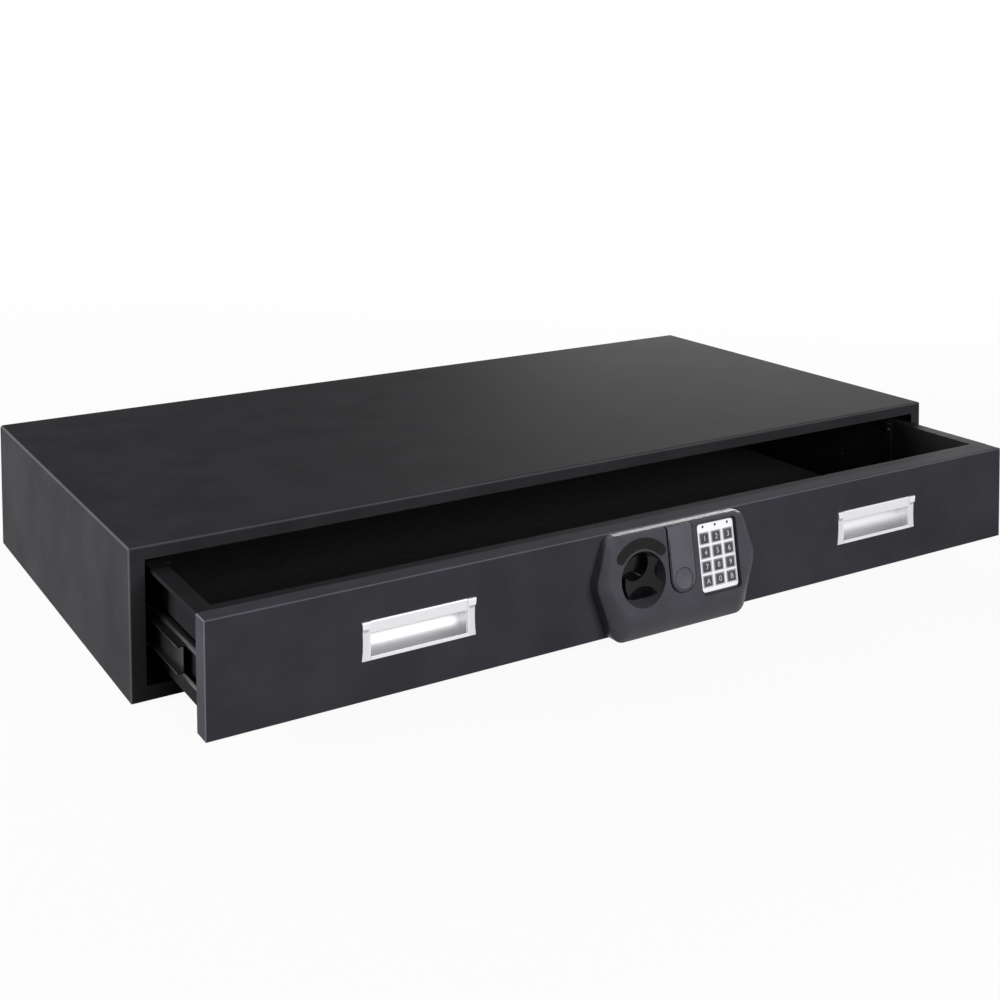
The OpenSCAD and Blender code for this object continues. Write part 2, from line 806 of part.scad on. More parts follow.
// The curved recess over the knob, with round ends
module band_outline() {
    mid = (band_in + band_out) / 2;
    half = (band_out - band_in) / 2;
    from = 42;
    to = 140;
    far = 2 * band_out;
    translate([knob_x, up_face(knob_mid)]) {
        intersection() {
            difference() {
                circle(band_out);
                circle(band_in);
            }
            polygon([[0, 0], far * [cos(from), sin(from)], far * [0.2, 1], far * [-0.6, 1],
                far * [cos(to), sin(to)]]);
        }
        for (a = [from, to]) translate(mid * [cos(a), sin(a)]) circle(half - 0.03);
    }
}

// What stands inside the housing's shell: the cup's wall, the cover's bed, the keypad's ledge and the posts
module housing_insides() {
    post_r = 2.4;
    difference() {
        union() {
            rod_y(knob_x, knob_mid, -face_at(0), -cup_floor + housing_wall, cup_r + housing_wall);
            on_face() translate([0, 0, cover_bed - housing_wall]) linear_extrude(housing_wall - cover_bed - 1)
                bed_outline(housing_wall, -up_face(cover_mid) - 1.6);
            keypad_spot() translate([0, 0, -plate_t - ledge_t])
                linear_extrude(plate_t + ledge_t + keypad_sunk - 1)
                    square([pocket_w + 2 * ledge_wall, pocket_h + 2 * ledge_wall], center = true);
            keypad_spot() for (sx = [-1, 1], sy = [-1, 1])
                translate([sx * board_post_x, sy * board_post_y, board_top])
                    cylinder(r = post_r, h = -board_top - 3);
            for (p = boss_places) rod_y(p[0], p[1], -face_at(p[1]) + 1.6, 0, boss_r);
        }
        on_face() translate([-casing_w / 2, -casing_w / 2, -1]) cube([casing_w, casing_w, casing_h]);
    }
}

module lock_housing() {
    far = housing_top;
    screw_deep = 12;
    post_hole_r = 0.9;
    color("#26272b") at_lock() difference() {
        union() {
            difference() {
                housing_form(0);
                housing_form(housing_wall);
            }
            housing_insides();
        }
        translate([knob_x, -cup_floor, knob_mid]) rotate([90, 0, 0])
            cylinder(r1 = cup_floor_r, r2 = cup_r + 1.5, h = 30);
        rod_y(knob_x, knob_mid, -cup_floor - over, 0, spindle_r + 0.6);
        on_face() translate([0, 0, -band_depth]) linear_extrude(far) band_outline();
        on_face() translate([0, 0, cover_bed]) linear_extrude(far) bed_outline(0, far);
        rod_y(cover_x, plug_mid, -housing_top, 0, lock_body_r - 1.1);
        keypad_spot() translate([0, 0, -plate_t]) linear_extrude(far)
            round_rect(pocket_w, pocket_h, pocket_r);
        keypad_spot() translate([0, 0, -plate_t - 2 * ledge_t]) linear_extrude(far)
            square([window_w, window_h], center = true);
        for (p = boss_places) rod_y(p[0], p[1], -screw_deep, over, housing_screw_r + 0.05);
        keypad_spot() for (sx = [-1, 1], sy = [-1, 1])
            translate([sx * board_post_x, sy * board_post_y, board_top - over])
                cylinder(r = post_hole_r, h = 5);
    }
}

module housing_screws() {
    screw_in = 11;
    head_t = 2.2;
    head_r = 3.6;
    color("#8c8c90") at_lock() for (p = boss_places) {
        rod_y(p[0], p[1], -screw_in, panel_t + 0.5, housing_screw_r);
        rod_y(p[0], p[1], panel_t, panel_t + head_t, head_r);
    }
}

// The knob and what it turns

module knob() {
    body_y = -cup_floor - knob_back;
    reach = knob_front - cup_floor - knob_back;
    edge = 1.5;
    front_t = 5;
    color("#222226") at_lock() translate([knob_x, body_y, knob_mid]) rotate([90, 0, 0]) difference() {
        union() {
            cylinder(r = knob_r + 0.5, h = knob_base);
            cylinder(r = knob_r, h = reach - edge);
            translate([0, 0, reach - edge]) cylinder(r1 = knob_r, r2 = knob_r - edge, h = edge);
        }
        for (s = scallops) translate([s[0], s[1], knob_base]) cylinder(r = s[2], h = reach);
        translate([0, 0, -over]) cylinder(r = spindle_r + running, h = reach - front_t + over);
    }
}

function polar(r, a) = r * [cos(a), sin(a)];

// Angle swept by an involute of the base circle when it reaches radius r
function involute_turn(base, r) =
    let (roll = sqrt(max(0, pow(r / base, 2) - 1))) roll * 180 / PI - atan(roll);

// One involute tooth about angle a, from its root up one flank and down the other
function tooth(a, teeth, root, tip) =
    let (base = pitch_r * cos(20),
        half = 90 / teeth + involute_turn(base, pitch_r) - tooth_play / 4 / pitch_r * 180 / PI,
        steps = [for (i = [0 : 5]) base + (tip - base) * i / 5])
    concat([polar(root, a - half)],
        [for (r = steps) polar(r, a - half + involute_turn(base, r))],
        [for (i = [5 : -1 : 0]) polar(steps[i], a + half - involute_turn(base, steps[i]))],
        [polar(root, a + half)]);

module pinion_outline() {
    root = pitch_r - 1.25 * gear_module;
    tip = pitch_r + 0.9 * gear_module;
    polygon([for (i = [0 : pinion_teeth - 1])
        each tooth(180 + i * 360 / pinion_teeth, pinion_teeth, root, tip)]);
}

// The rack's teeth, which point towards +X from the pitch line at x = 0
module rack_outline(low, high, back) {
    pitch = PI * gear_module;
    half = pitch / 4 - tooth_play / 4;
    out = 0.9 * gear_module;
    root = 1.25 * gear_module;
    translate([-root - back, low]) square([back, high - low]);
    for (i = [ceil(low / pitch) : floor(high / pitch) - 1]) translate([0, (i + 0.5) * pitch])
        polygon([[-root, -half - root * tan(20)], [out, -half + out * tan(20)],
            [out, half - out * tan(20)], [-root, half + root * tan(20)]]);
}

module pinion_spindle() {
    front = -knob_front + 6;
    tail = 2;
    rear = carriage_y - panel_y + pinion_w + tail;
    color("#8f9094") at_lock() translate([knob_x, 0, knob_mid]) {
        rod_y(0, 0, front, rear, spindle_r);
        translate([0, carriage_y - panel_y - 0.3, 0]) along_y(0, pinion_w) pinion_outline();
    }
}

module spindle_bush() {
    flange_t = 3;
    flange_w = 4;
    color("#b9a36a") at_lock() difference() {
        union() {
            rod_y(knob_x, knob_mid, 0.1, panel_t + flange_t, bush_r);
            rod_y(knob_x, knob_mid, panel_t, panel_t + flange_t, bush_r + flange_w);
        }
        rod_y(knob_x, knob_mid, -over, panel_t + flange_t + over, spindle_r + running);
    }
}

// The bolt carriage: a bar with a rack, slotted ears on the guide pins and a tab over each bolt
module bolt_carriage() {
    rack_x = knob_x - pitch_r;
    rack_back = 7;
    rack_low = carriage_top - knob_mid - 6;
    rack_high = bolt_stroke + 12;
    slot_len = bolt_stroke + 0.4;
    slot_r = pin_r + 0.1;
    ear = 6;
    arm_w = 22;
    tab_edge = 3;
    notch_h = 2 * plunger_r + 0.8;
    color("#9b9ca0") at_lock() {
        difference() {
            translate([0, carriage_y - panel_y, 0]) along_y(0, carriage_t) {
                translate([-carriage_end, carriage_low])
                    square([2 * carriage_end, carriage_top - carriage_low]);
                translate([rack_x, knob_mid]) rack_outline(rack_low, rack_high, rack_back);
                for (m = [-1, 1]) translate([m * pin_pitch / 2 - pin_r - ear, carriage_low])
                    square([2 * (pin_r + ear), pin_z - carriage_low + slot_len + pin_r + ear - 1]);
                translate([carriage_end - arm_w, carriage_low])
                    square([arm_w, notch_z - carriage_low + bolt_stroke + plunger_r + ear]);
            }
            for (m = [-1, 1]) translate([m * pin_pitch / 2, carriage_y - panel_y - over, pin_z])
                along_y(0, carriage_t + 2 * over) {
                    circle(slot_r);
                    translate([0, slot_len]) circle(slot_r);
                    translate([-slot_r, 0]) square([2 * slot_r, slot_len]);
                }
            for (z = [notch_z, notch_z + bolt_stroke])
                translate([carriage_end - plunger_stroke - 1, carriage_y - panel_y - over, z - notch_h / 2])
                    cube([plunger_stroke + 2, carriage_t + 2 * over, notch_h]);
        }
        for (i = [-1 : 1]) difference() {
            translate([i * bolt_pitch - bolt_r - tab_edge, bolt_back - panel_y - bolt_r, tab_z])
                cube([2 * (bolt_r + tab_edge), carriage_y - bolt_back + bolt_r, tab_t]);
            translate([i * bolt_pitch, bolt_back - panel_y, tab_z - over])
                cylinder(r = neck_r + running, h = tab_t + 2 * over);
        }
    }
}

// Each bolt has a neck through its tab and a riveted head over it
module live_bolts() {
    cone = 1.5;
    head_t = 1.6;
    color("#b5b6ba") at_lock() for (i = [-1 : 1]) translate([i * bolt_pitch, bolt_back - panel_y, 0]) {
        translate([0, 0, bolt_tip]) cylinder(r1 = bolt_r - cone, r2 = bolt_r, h = cone);
        translate([0, 0, bolt_tip + cone]) cylinder(r = bolt_r, h = tab_z - bolt_tip - cone);
        translate([0, 0, tab_z - over]) cylinder(r = neck_r, h = tab_t + 2 * over);
        translate([0, 0, tab_z + tab_t]) cylinder(r1 = bolt_r - 0.5, r2 = bolt_r - 1.5, h = head_t);
    }
}

// A shelf on the panel's back whose holes guide the bolts
module bolt_guide() {
    end_w = 15;
    rear_w = 4.5;
    w = 2 * (bolt_pitch + bolt_r + end_w);
    upright = 10;
    depth = bolt_y + bolt_r + rear_w;
    color("#6f7074") at_lock() difference() {
        union() {
            translate([-w / 2, panel_t, guide_z]) cube([w, guide_t, upright]);
            translate([-w / 2, panel_t, guide_z]) cube([w, depth, guide_t]);
        }
        for (i = [-1 : 1]) translate([i * bolt_pitch, bolt_back - panel_y, guide_z - over])
            cylinder(r = bolt_r + running, h = upright + 2 * over);
    }
}

// Shouldered pins that hold the carriage off the panel and let it rise and fall
module guide_pins() {
    play = 0.2;
    collar_r = pin_r + 2.5;
    clip_t = 1.6;
    shoulder = carriage_y - panel_y - play;
    end = shoulder + carriage_t + 2 * play;
    color("#9b9ca0") at_lock() for (m = [-1, 1]) {
        x = m * pin_pitch / 2;
        rod_y(x, pin_z, panel_t, shoulder, collar_r);
        rod_y(x, pin_z, shoulder - over, end, pin_r);
        rod_y(x, pin_z, end, end + clip_t, collar_r);
    }
}

// The solenoid that holds the carriage until the right code is entered
module solenoid() {
    y = carriage_y - panel_y + carriage_t / 2;
    coil_r = 8.5;
    plate = 2;
    frame_h = 2 * coil_r + 2;
    color("#4a3a2c") at_lock() difference() {
        union() {
            rod_x(solenoid_x + plate - 0.5, solenoid_x + solenoid_len - plate + 0.5, y, notch_z, coil_r);
            for (x = [solenoid_x, solenoid_x + solenoid_len - plate])
                translate([x, panel_t, notch_z - frame_h / 2]) cube([plate, y + coil_r - 1, frame_h]);
            translate([solenoid_x, panel_t, notch_z - frame_h / 2]) cube([solenoid_len, plate, frame_h]);
        }
        rod_x(solenoid_x - over, solenoid_x + solenoid_len - plate, y, notch_z, plunger_r + running);
    }
}

module solenoid_plunger() {
    y = carriage_y - panel_y + carriage_t / 2;
    tip = carriage_end + 1;
    inside = 8;
    color("#c2c3c7") at_lock() rod_x(tip, solenoid_x + solenoid_len - inside, y, notch_z, plunger_r);
}

// The batteries behind the panel

module battery_holder() {
    w = battery_count * battery_pitch + 2 * holder_wall;
    h = battery_len + 2 * holder_wall + 0.8;
    d = 2 * battery_r + holder_wall + 0.5;
    color("#1c1c1e") at_lock() translate([battery_x - w, panel_t, battery_z]) difference() {
        cube([w, d, h]);
        translate([holder_wall, holder_wall, holder_wall])
            cube([w - 2 * holder_wall, d, h - 2 * holder_wall]);
    }
}

module batteries() {
    button_r = 2.7;
    button_h = 1.5;
    y = panel_t + holder_wall + battery_r + 0.1;
    z = battery_z + holder_wall + 0.2;
    color("#b08a3c") at_lock() for (i = [0 : battery_count - 1])
        translate([battery_x - holder_wall - (i + 0.5) * battery_pitch, y, z]) {
            cylinder(r = battery_r, h = battery_len - button_h);
            cylinder(r = button_r, h = battery_len);
        }
}

// The key lock under its cover

module key_cover() {
    ball = (pow(dimple_r, 2) + pow(dimple_depth, 2)) / (2 * dimple_depth);
    color("#26272b") at_lock() difference() {
        intersection() {
            housing_form(0);
            on_face() translate([0, 0, -cover_t]) linear_extrude(2 * cover_t) cover_outline(0, housing_top);
        }
        on_face() translate([cover_x, up_face(plug_mid), ball - dimple_depth]) sphere(r = ball);
    }
}

lock_front = face_at(plug_mid) - cover_t - 3;

module key_lock_body() {
    neck = lock_front - 3.6;
    nut_t = 4;
    nut_w = 3;
    color("#a5a6aa") at_lock() difference() {
        union() {
            rod_y(cover_x, plug_mid, -neck, lock_rear, lock_body_r);
            rod_y(cover_x, plug_mid, -lock_front, 0, lock_body_r - 1.5);
            rod_y(cover_x, plug_mid, panel_t, panel_t + nut_t, lock_body_r + nut_w);
        }
        rod_y(cover_x, plug_mid, -housing_top, lock_rear + over, plug_r + running);
    }
}

module key_plug() {
    cam_len = 17;
    cam_w = 10;
    cam_t = 2;
    slot_w = 1.6;
    slot_h = 9;
    slot_d = 11;
    rear = lock_rear + 0.3;
    color("#c8b16c") at_lock() translate([cover_x, 0, plug_mid]) {
        difference() {
            rod_y(0, 0, -lock_front, rear, plug_r);
            translate([-slot_w / 2, -lock_front - over, -slot_h / 2]) cube([slot_w, slot_d + over, slot_h]);
        }
        translate([-cam_w / 2, rear, -cam_w / 2]) cube([cam_w / 2 + cam_len, cam_t, cam_w]);
    }
}

// The keypad

module keypad_plate() {
    color("#c4c5c9") at_lock() keypad_spot() difference() {
        translate([0, 0, -plate_t]) linear_extrude(plate_t) round_rect(plate_w, plate_h, plate_r);
        for (i = [0 : 11]) translate([key_place(i)[0], key_place(i)[1], -plate_t - over])
            linear_extrude(plate_t + 2 * over) round_rect(key_w + 2 * key_gap, key_h + 2 * key_gap, 1.5);
        for (i = [-1 : 1]) translate([i * lamp_pitch, lamp_y, -plate_t - over])
            cylinder(r = lamp_r + 0.15, h = plate_t + 2 * over);
    }
}

// The place of a key on the keypad, counted in reading order
function key_place(i) = [(i % 3 - 1) * key_pitch_x, keys_drop + (1.5 - floor(i / 3)) * key_pitch_y];

module keypad_board() {
    hole_r = 1.2;
    color("#1d4a34") at_lock() keypad_spot() difference() {
        translate([0, 0, board_top - board_t]) linear_extrude(board_t) round_rect(board_w, board_h, 2);
        for (sx = [-1, 1], sy = [-1, 1])
            translate([sx * board_post_x, sy * board_post_y, board_top - board_t - over])
                cylinder(r = hole_r, h = board_t + 2 * over);
    }
}

module key_switches() {
    switch_w = 6;
    well = stem_in + key_travel + 0.7;
    color("#2a2a2c") at_lock() keypad_spot() for (i = [0 : 11])
        translate([key_place(i)[0], key_place(i)[1], board_top]) difference() {
            translate([-switch_w / 2, -switch_w / 2, 0]) cube([switch_w, switch_w, switch_h]);
            translate([0, 0, switch_h - well]) cylinder(r = stem_r + 0.3, h = well + over);
        }
}

module indicator_lamps() {
    body = 4;
    dome = 0.9;
    color("#8a2a22") at_lock() keypad_spot() for (i = [-1 : 1]) translate([i * lamp_pitch, lamp_y, 0]) {
        translate([0, 0, board_top]) cylinder(r = lamp_r - 0.6, h = -board_top - body + over);
        translate([0, 0, -body]) cylinder(r = lamp_r, h = body);
        translate([0, 0, -dome]) sphere(r = lamp_r);
    }
}

// One key: a square cap through the plate, a flange under it and a stem into its switch
module key(i) {
    flange_top = -plate_t - 0.05;
    flange = 1;
    stem_end = board_top + switch_h - stem_in;
    color("#46474c") at_lock() keypad_spot() translate([key_place(i)[0], key_place(i)[1], 0]) {
        translate([0, 0, flange_top - flange]) linear_extrude(flange)
            square([key_w + 2 * flange, key_h + 2 * flange], center = true);
        translate([0, 0, flange_top - over / 2]) linear_extrude(key_proud - flange_top + over / 2)
            round_rect(key_w, key_h, 1.3);
        translate([0, 0, stem_end]) cylinder(r = stem_r, h = flange_top - stem_end - flange / 2);
    }
}
module key_1() key(0);
module key_2() key(1);
module key_3() key(2);
module key_4() key(3);
module key_5() key(4);
module key_6() key(5);
module key_7() key(6);
module key_8() key(7);
module key_9() key(8);
module key_a() key(9);
module key_0() key(10);
module key_b() key(11);

case_shell();
case_back();
slide_spacer_left();
slide_spacer_right();
slide_outer_left();
slide_outer_right();
slide_screws_case();
slide_middle_left();
slide_middle_right();
outer_cage_left();
outer_cage_right();
inner_cage_left();
inner_cage_right();
drawer_tray();
drawer_front_wall();
drawer_back();
floor_liner();
front_panel();
slide_inner_left();
slide_inner_right();
slide_screws_drawer();
side_strap_left();
side_strap_right();
strap_bolts();
handle_left();
handle_right();
handle_screws();
lock_housing();
housing_screws();
keypad_plate();
keypad_board();
key_switches();
indicator_lamps();
key_lock_body();
spindle_bush();
bolt_guide();
guide_pins();
solenoid();
battery_holder();
batteries();
knob();
pinion_spindle();
bolt_carriage();
live_bolts();
key_cover();
key_plug();
solenoid_plunger();
key_1();
key_2();
key_3();
key_4();
key_5();
key_6();
key_7();
key_8();
key_9();
key_a();
key_0();
key_b();
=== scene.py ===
import json
import math

import bpy
from mathutils import Matrix, Vector

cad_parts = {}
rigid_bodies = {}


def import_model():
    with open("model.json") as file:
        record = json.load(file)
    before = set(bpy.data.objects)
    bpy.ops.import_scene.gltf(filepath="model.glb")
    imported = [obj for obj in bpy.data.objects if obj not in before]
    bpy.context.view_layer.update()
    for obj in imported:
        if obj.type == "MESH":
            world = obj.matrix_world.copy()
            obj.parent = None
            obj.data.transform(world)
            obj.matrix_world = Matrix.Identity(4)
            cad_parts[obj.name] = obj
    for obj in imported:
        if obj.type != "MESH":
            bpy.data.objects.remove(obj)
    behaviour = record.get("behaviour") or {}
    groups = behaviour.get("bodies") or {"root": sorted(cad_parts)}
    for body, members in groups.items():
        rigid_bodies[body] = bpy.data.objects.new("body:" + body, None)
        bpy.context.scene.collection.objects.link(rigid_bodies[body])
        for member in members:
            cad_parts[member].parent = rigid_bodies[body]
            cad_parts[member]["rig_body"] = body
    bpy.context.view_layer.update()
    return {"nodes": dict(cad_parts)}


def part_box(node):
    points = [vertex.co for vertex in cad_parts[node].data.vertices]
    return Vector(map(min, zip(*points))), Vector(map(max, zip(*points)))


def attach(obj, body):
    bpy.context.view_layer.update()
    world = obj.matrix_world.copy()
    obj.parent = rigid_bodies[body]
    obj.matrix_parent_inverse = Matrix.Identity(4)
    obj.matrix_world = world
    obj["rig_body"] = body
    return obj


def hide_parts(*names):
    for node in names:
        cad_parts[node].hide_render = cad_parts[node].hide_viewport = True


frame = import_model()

# Looks of the under-bed safe. Lengths are in metres: mm turns millimetres into them.
mm = 0.001

# The lock's frame: x from the drawer's middle, y back from the panel's face, z up from its lower edge
PANEL_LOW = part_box("front_panel")[0]
LOCK = Matrix.Translation((0, PANEL_LOW.y, PANEL_LOW.z))

# The lock housing's leaning face
HOUSING_TOP = 124.7 * mm
FACE_DEPTH = 17 * mm
FACE_TILT = math.radians(9)
SKIRT_DEPTH = 11 * mm
SKIRT_TILT = math.radians(4.1)
HOUSING_WALL = 2.5 * mm
HOUSING_EDGE = 0.5 * mm
# Circles on one side of its plan, at the face and at the rim, in millimetres: distance from the middle,
# height, radius
FACE_CIRCLES = ((86, 112.7, 10), (84, 69.7, 20), (76, 40.2, 10))
RIM_CIRCLES = ((89, 108.7, 16), (87.5, 69.7, 30), (84, 15.7, 16))
# Its screw posts, in millimetres: x and height
POSTS = ((-93, 98.7), (93, 98.7), (-70, 28.7), (70, 28.7))
POST_R, POST_HOLE_R = 4 * mm, 1.6 * mm

KNOB_X, KNOB_Z = -58.7 * mm, 72 * mm
KNOB_R, KNOB_BACK, KNOB_FLOOR, KNOB_FRONT = 28 * mm, 10.8 * mm, 12.8 * mm, 27 * mm
# The hollows between its arms, in millimetres: x, y, radius at the floor, radius where the cutter ends
KNOB_HOLLOWS = ((-13.2, 19, 18.2, 18.6), (31, 8.7, 15.6, 16.2), (-2, -33, 9.4, 31.9))
CUP_FLOOR, CUP_FLOOR_R = 10 * mm, 30.2 * mm
CUP_MOUTH, CUP_MOUTH_R = 40 * mm, 33.7 * mm
SPINDLE_HOLE_R, KEY_LOCK_HOLE_R = 5.6 * mm, 8.9 * mm
BAND_IN, BAND_OUT, BAND_DEPTH = 34 * mm, 47.5 * mm, 1.2 * mm
BAND_R, BAND_W = (BAND_IN + BAND_OUT) / 2, BAND_OUT - BAND_IN
BAND_FROM, BAND_TO = math.radians(45), math.radians(136)

COVER_X, COVER_Z, COVER_R = -0.4 * mm, 64 * mm, 17.9 * mm
COVER_T, COVER_GAP, COVER_CHANNEL = 3 * mm, 0.5 * mm, 2 * mm
BED_DEPTH = COVER_T + 0.3 * mm
PLUG_Z = COVER_Z - 2 * mm
DIMPLE_R, DIMPLE_DEPTH, DIMPLE_RING = 12.5 * mm, 2.3 * mm, 0.5 * mm

KEYPAD_X, KEYPAD_Z, KEYPAD_SUNK = 55.7 * mm, 78.8 * mm, 3.5 * mm
PLATE_T = 2.6 * mm
POCKET_W, POCKET_H, POCKET_CORNER = 60.8 * mm, 86.4 * mm, 6 * mm
WINDOW_W, WINDOW_H = 51.4 * mm, 77.2 * mm
KEY_PITCH_X, KEY_PITCH_Y, KEYS_DROP = 18.1 * mm, 16.9 * mm, -2.5 * mm
KEY_PROUD = 0.9 * mm
KEYS = "1 2 3 4 5 6 7 8 9 a 0 b".split()

# How far cutting tools reach: over the leaning face, and forwards of the panel, past the knob and past it all
OVER_FACE, PAST_KNOB, PAST_FRONT = 20 * mm, 30 * mm, 60 * mm


def leaning(depth, tilt):
    """A plane that leans back about the housing's top: x across, y up the slope and z out of it."""
    return LOCK @ Matrix.Translation((0, -depth, HOUSING_TOP)) @ Matrix.Rotation(math.pi / 2 - tilt, 4, "X")


def up_face(height, tilt=FACE_TILT):
    """A height on the lock as a distance up the leaning plane from the housing's top."""
    return (height - HOUSING_TOP) / math.cos(tilt)


FACE = leaning(FACE_DEPTH, FACE_TILT)
KEYPAD = FACE @ Matrix.Translation((KEYPAD_X, up_face(KEYPAD_Z), -KEYPAD_SUNK))
COVER_END = FACE @ Matrix.Translation((COVER_X, up_face(COVER_Z), 0))
DIMPLE = FACE @ Matrix.Translation((COVER_X, up_face(PLUG_Z), 0))
BAND_CENTRE = FACE @ Matrix.Translation((KNOB_X, up_face(KNOB_Z), 0))


def facing(x, z, y=0.0):
    """A plane that faces forwards at x and z on the lock: its z runs out of the panel."""
    return LOCK @ Matrix.Translation((x, -y, z)) @ Matrix.Rotation(math.pi / 2, 4, "X")


KNOB_PLACE = facing(KNOB_X, KNOB_Z)
KEY_LOCK_PLACE = facing(COVER_X, PLUG_Z)
POST_PLACES = [facing(x * mm, z * mm) for x, z in POSTS]


# Modelling


def only(piece):
    """Makes one piece the selected and active one."""
    bpy.ops.object.select_all(action="DESELECT")
    piece.select_set(True)
    bpy.context.view_layer.objects.active = piece


class Editing:
    """Edit mode on one piece, with all of it selected."""

    def __init__(self, piece):
        self.piece = piece

    def __enter__(self):
        only(self.piece)
        bpy.ops.object.mode_set(mode="EDIT")
        bpy.ops.mesh.select_all(action="SELECT")

    def __exit__(self, *_):
        bpy.ops.object.mode_set(mode="OBJECT")


def select_edges(piece, wanted):
    """Selects the edges of a piece whose two ends pass the test."""
    only(piece)
    bpy.ops.object.mode_set(mode="EDIT")
    bpy.ops.mesh.select_mode(type="EDGE")
    bpy.ops.mesh.select_all(action="DESELECT")
    bpy.ops.object.mode_set(mode="OBJECT")
    points = piece.data.vertices
    for edge in piece.data.edges:
        a, b = (points[i].co for i in edge.vertices)
        edge.select = bool(wanted(a, b))


def at_rest(piece, place):
    """Moves a piece's mesh to its place in the frame, its object staying at the origin."""
    piece.data.transform(piece.matrix_world)
    piece.matrix_world = Matrix.Identity(4)
    piece.data.transform(place)
    return piece


def modifier(piece, kind, **settings):
    """Adds a modifier and applies it."""
    only(piece)
    bpy.ops.object.modifier_add(type=kind)
    made = piece.modifiers[-1]
    for name, value in settings.items():
        setattr(made, name, value)
    bpy.ops.object.modifier_apply(modifier=made.name)


def block(size, place, corner=0.0, steps=8):
    """A box about the origin of its place, its upright edges rounded."""
    bpy.ops.mesh.primitive_cube_add(size=1)
    piece = bpy.context.object
    piece.data.transform(Matrix.Diagonal((*size, 1)))
    if corner:
        select_edges(piece, lambda a, b: abs(a.z - b.z) > size[2] / 2)
        bpy.ops.object.mode_set(mode="EDIT")
        bpy.ops.mesh.bevel(offset=corner, segments=steps, affect="EDGES")
        bpy.ops.object.mode_set(mode="OBJECT")
    return at_rest(piece, place)


def disc(radius, low, high, place, top_radius=None, sides=96):
    """A round bar or cone along z from low to high."""
    bpy.ops.mesh.primitive_cone_add(vertices=sides, radius1=radius, depth=high - low,
                                    radius2=radius if top_radius is None else top_radius)
    return at_rest(bpy.context.object, place @ Matrix.Translation((0, 0, (low + high) / 2)))


def cut(piece, *tools, operation="DIFFERENCE"):
    """Cuts tools away from a piece, or keeps what is in both, and removes the tools."""
    for tool in tools:
        modifier(piece, "BOOLEAN", operation=operation, solver="EXACT", object=tool)
        bpy.data.objects.remove(tool)
    return piece


def clean(piece, flat=0.4):
    """Joins doubled points and the parts of flat faces."""
    with Editing(piece):
        bpy.ops.mesh.remove_doubles(threshold=0.03 * mm)
        bpy.ops.mesh.dissolve_limited(angle_limit=math.radians(flat))


def bent(piece, radius, wanted):
    """Rounds the folds of sheet: the edges that two faces of the piece's box share, if they pass the test."""
    points = [v.co.copy() for v in piece.data.vertices]
    low, high = (Vector(f(p[i] for p in points) for i in range(3)) for f in (min, max))
    near = 0.01 * mm

    def sides(p):
        """The faces of the box that a point lies on."""
        return {(i, end) for i in range(3) for end in (0, 1) if abs(p[i] - (low, high)[end][i]) < near}

    select_edges(piece, lambda a, b: len(sides(a) & sides(b)) == 2 and wanted(a - low, b - low))
    bpy.ops.object.mode_set(mode="EDIT")
    bpy.ops.mesh.bevel(offset=radius, segments=4, affect="EDGES", clamp_overlap=False)
    bpy.ops.object.mode_set(mode="OBJECT")


def eased(piece, edge, steps=2, sharp=30):
    """Rounds a piece's sharp edges and shades it smooth between them."""
    if edge:
        modifier(piece, "BEVEL", width=edge, segments=steps, limit_method="ANGLE",
                 angle_limit=math.radians(sharp), use_clamp_overlap=False)
    only(piece)
    bpy.ops.object.shade_smooth_by_angle(angle=math.radians(sharp))
    modifier(piece, "WEIGHTED_NORMAL", keep_sharp=True)


def named(piece, name, body, slot, coat, *nodes):
    """Gives a finished piece its name, body and material, and hides the nodes that it stands for; the slot is
    not used.
    """
    piece.name = piece.data.name = name
    piece.data.materials.clear()
    piece.data.materials.append(coat)
    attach(piece, body)
    if nodes:
        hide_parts(*nodes)


def eased_copy(node, edge, slot, bend=0.0, wanted=None):
    """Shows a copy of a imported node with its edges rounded, and the wanted ones of its folds bent."""
    source = frame["nodes"][node]
    piece = bpy.data.objects.new(node + "_eased", source.data.copy())
    bpy.context.scene.collection.objects.link(piece)
    clean(piece)
    if bend:
        bent(piece, bend, wanted)
    eased(piece, edge)
    named(piece, node + "_eased", source["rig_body"], slot, COATS[slot], node)


# Materials


class Value:
    """A shader socket that Python's operators work on: each adds its Math node."""

    def __init__(self, tree, socket):
        self.tree = tree
        self.socket = socket

    def maths(self, operation, *others):
        """A Math node with this as its first value."""
        return self.tree.maths(operation, self, *others)

    def __add__(self, other):
        return self.maths("ADD", other)

    def __radd__(self, other):
        return self.tree.maths("ADD", other, self)

    def __sub__(self, other):
        return self.maths("SUBTRACT", other)

    def __rsub__(self, other):
        return self.tree.maths("SUBTRACT", other, self)

    def __mul__(self, other):
        return self.maths("MULTIPLY", other)

    def __rmul__(self, other):
        return self.tree.maths("MULTIPLY", other, self)

    def above(self, other):
        """1 where it is larger than the other, else 0."""
        return self.maths("GREATER_THAN", other)

    def size(self):
        """Itself without its sign."""
        return self.maths("ABSOLUTE")


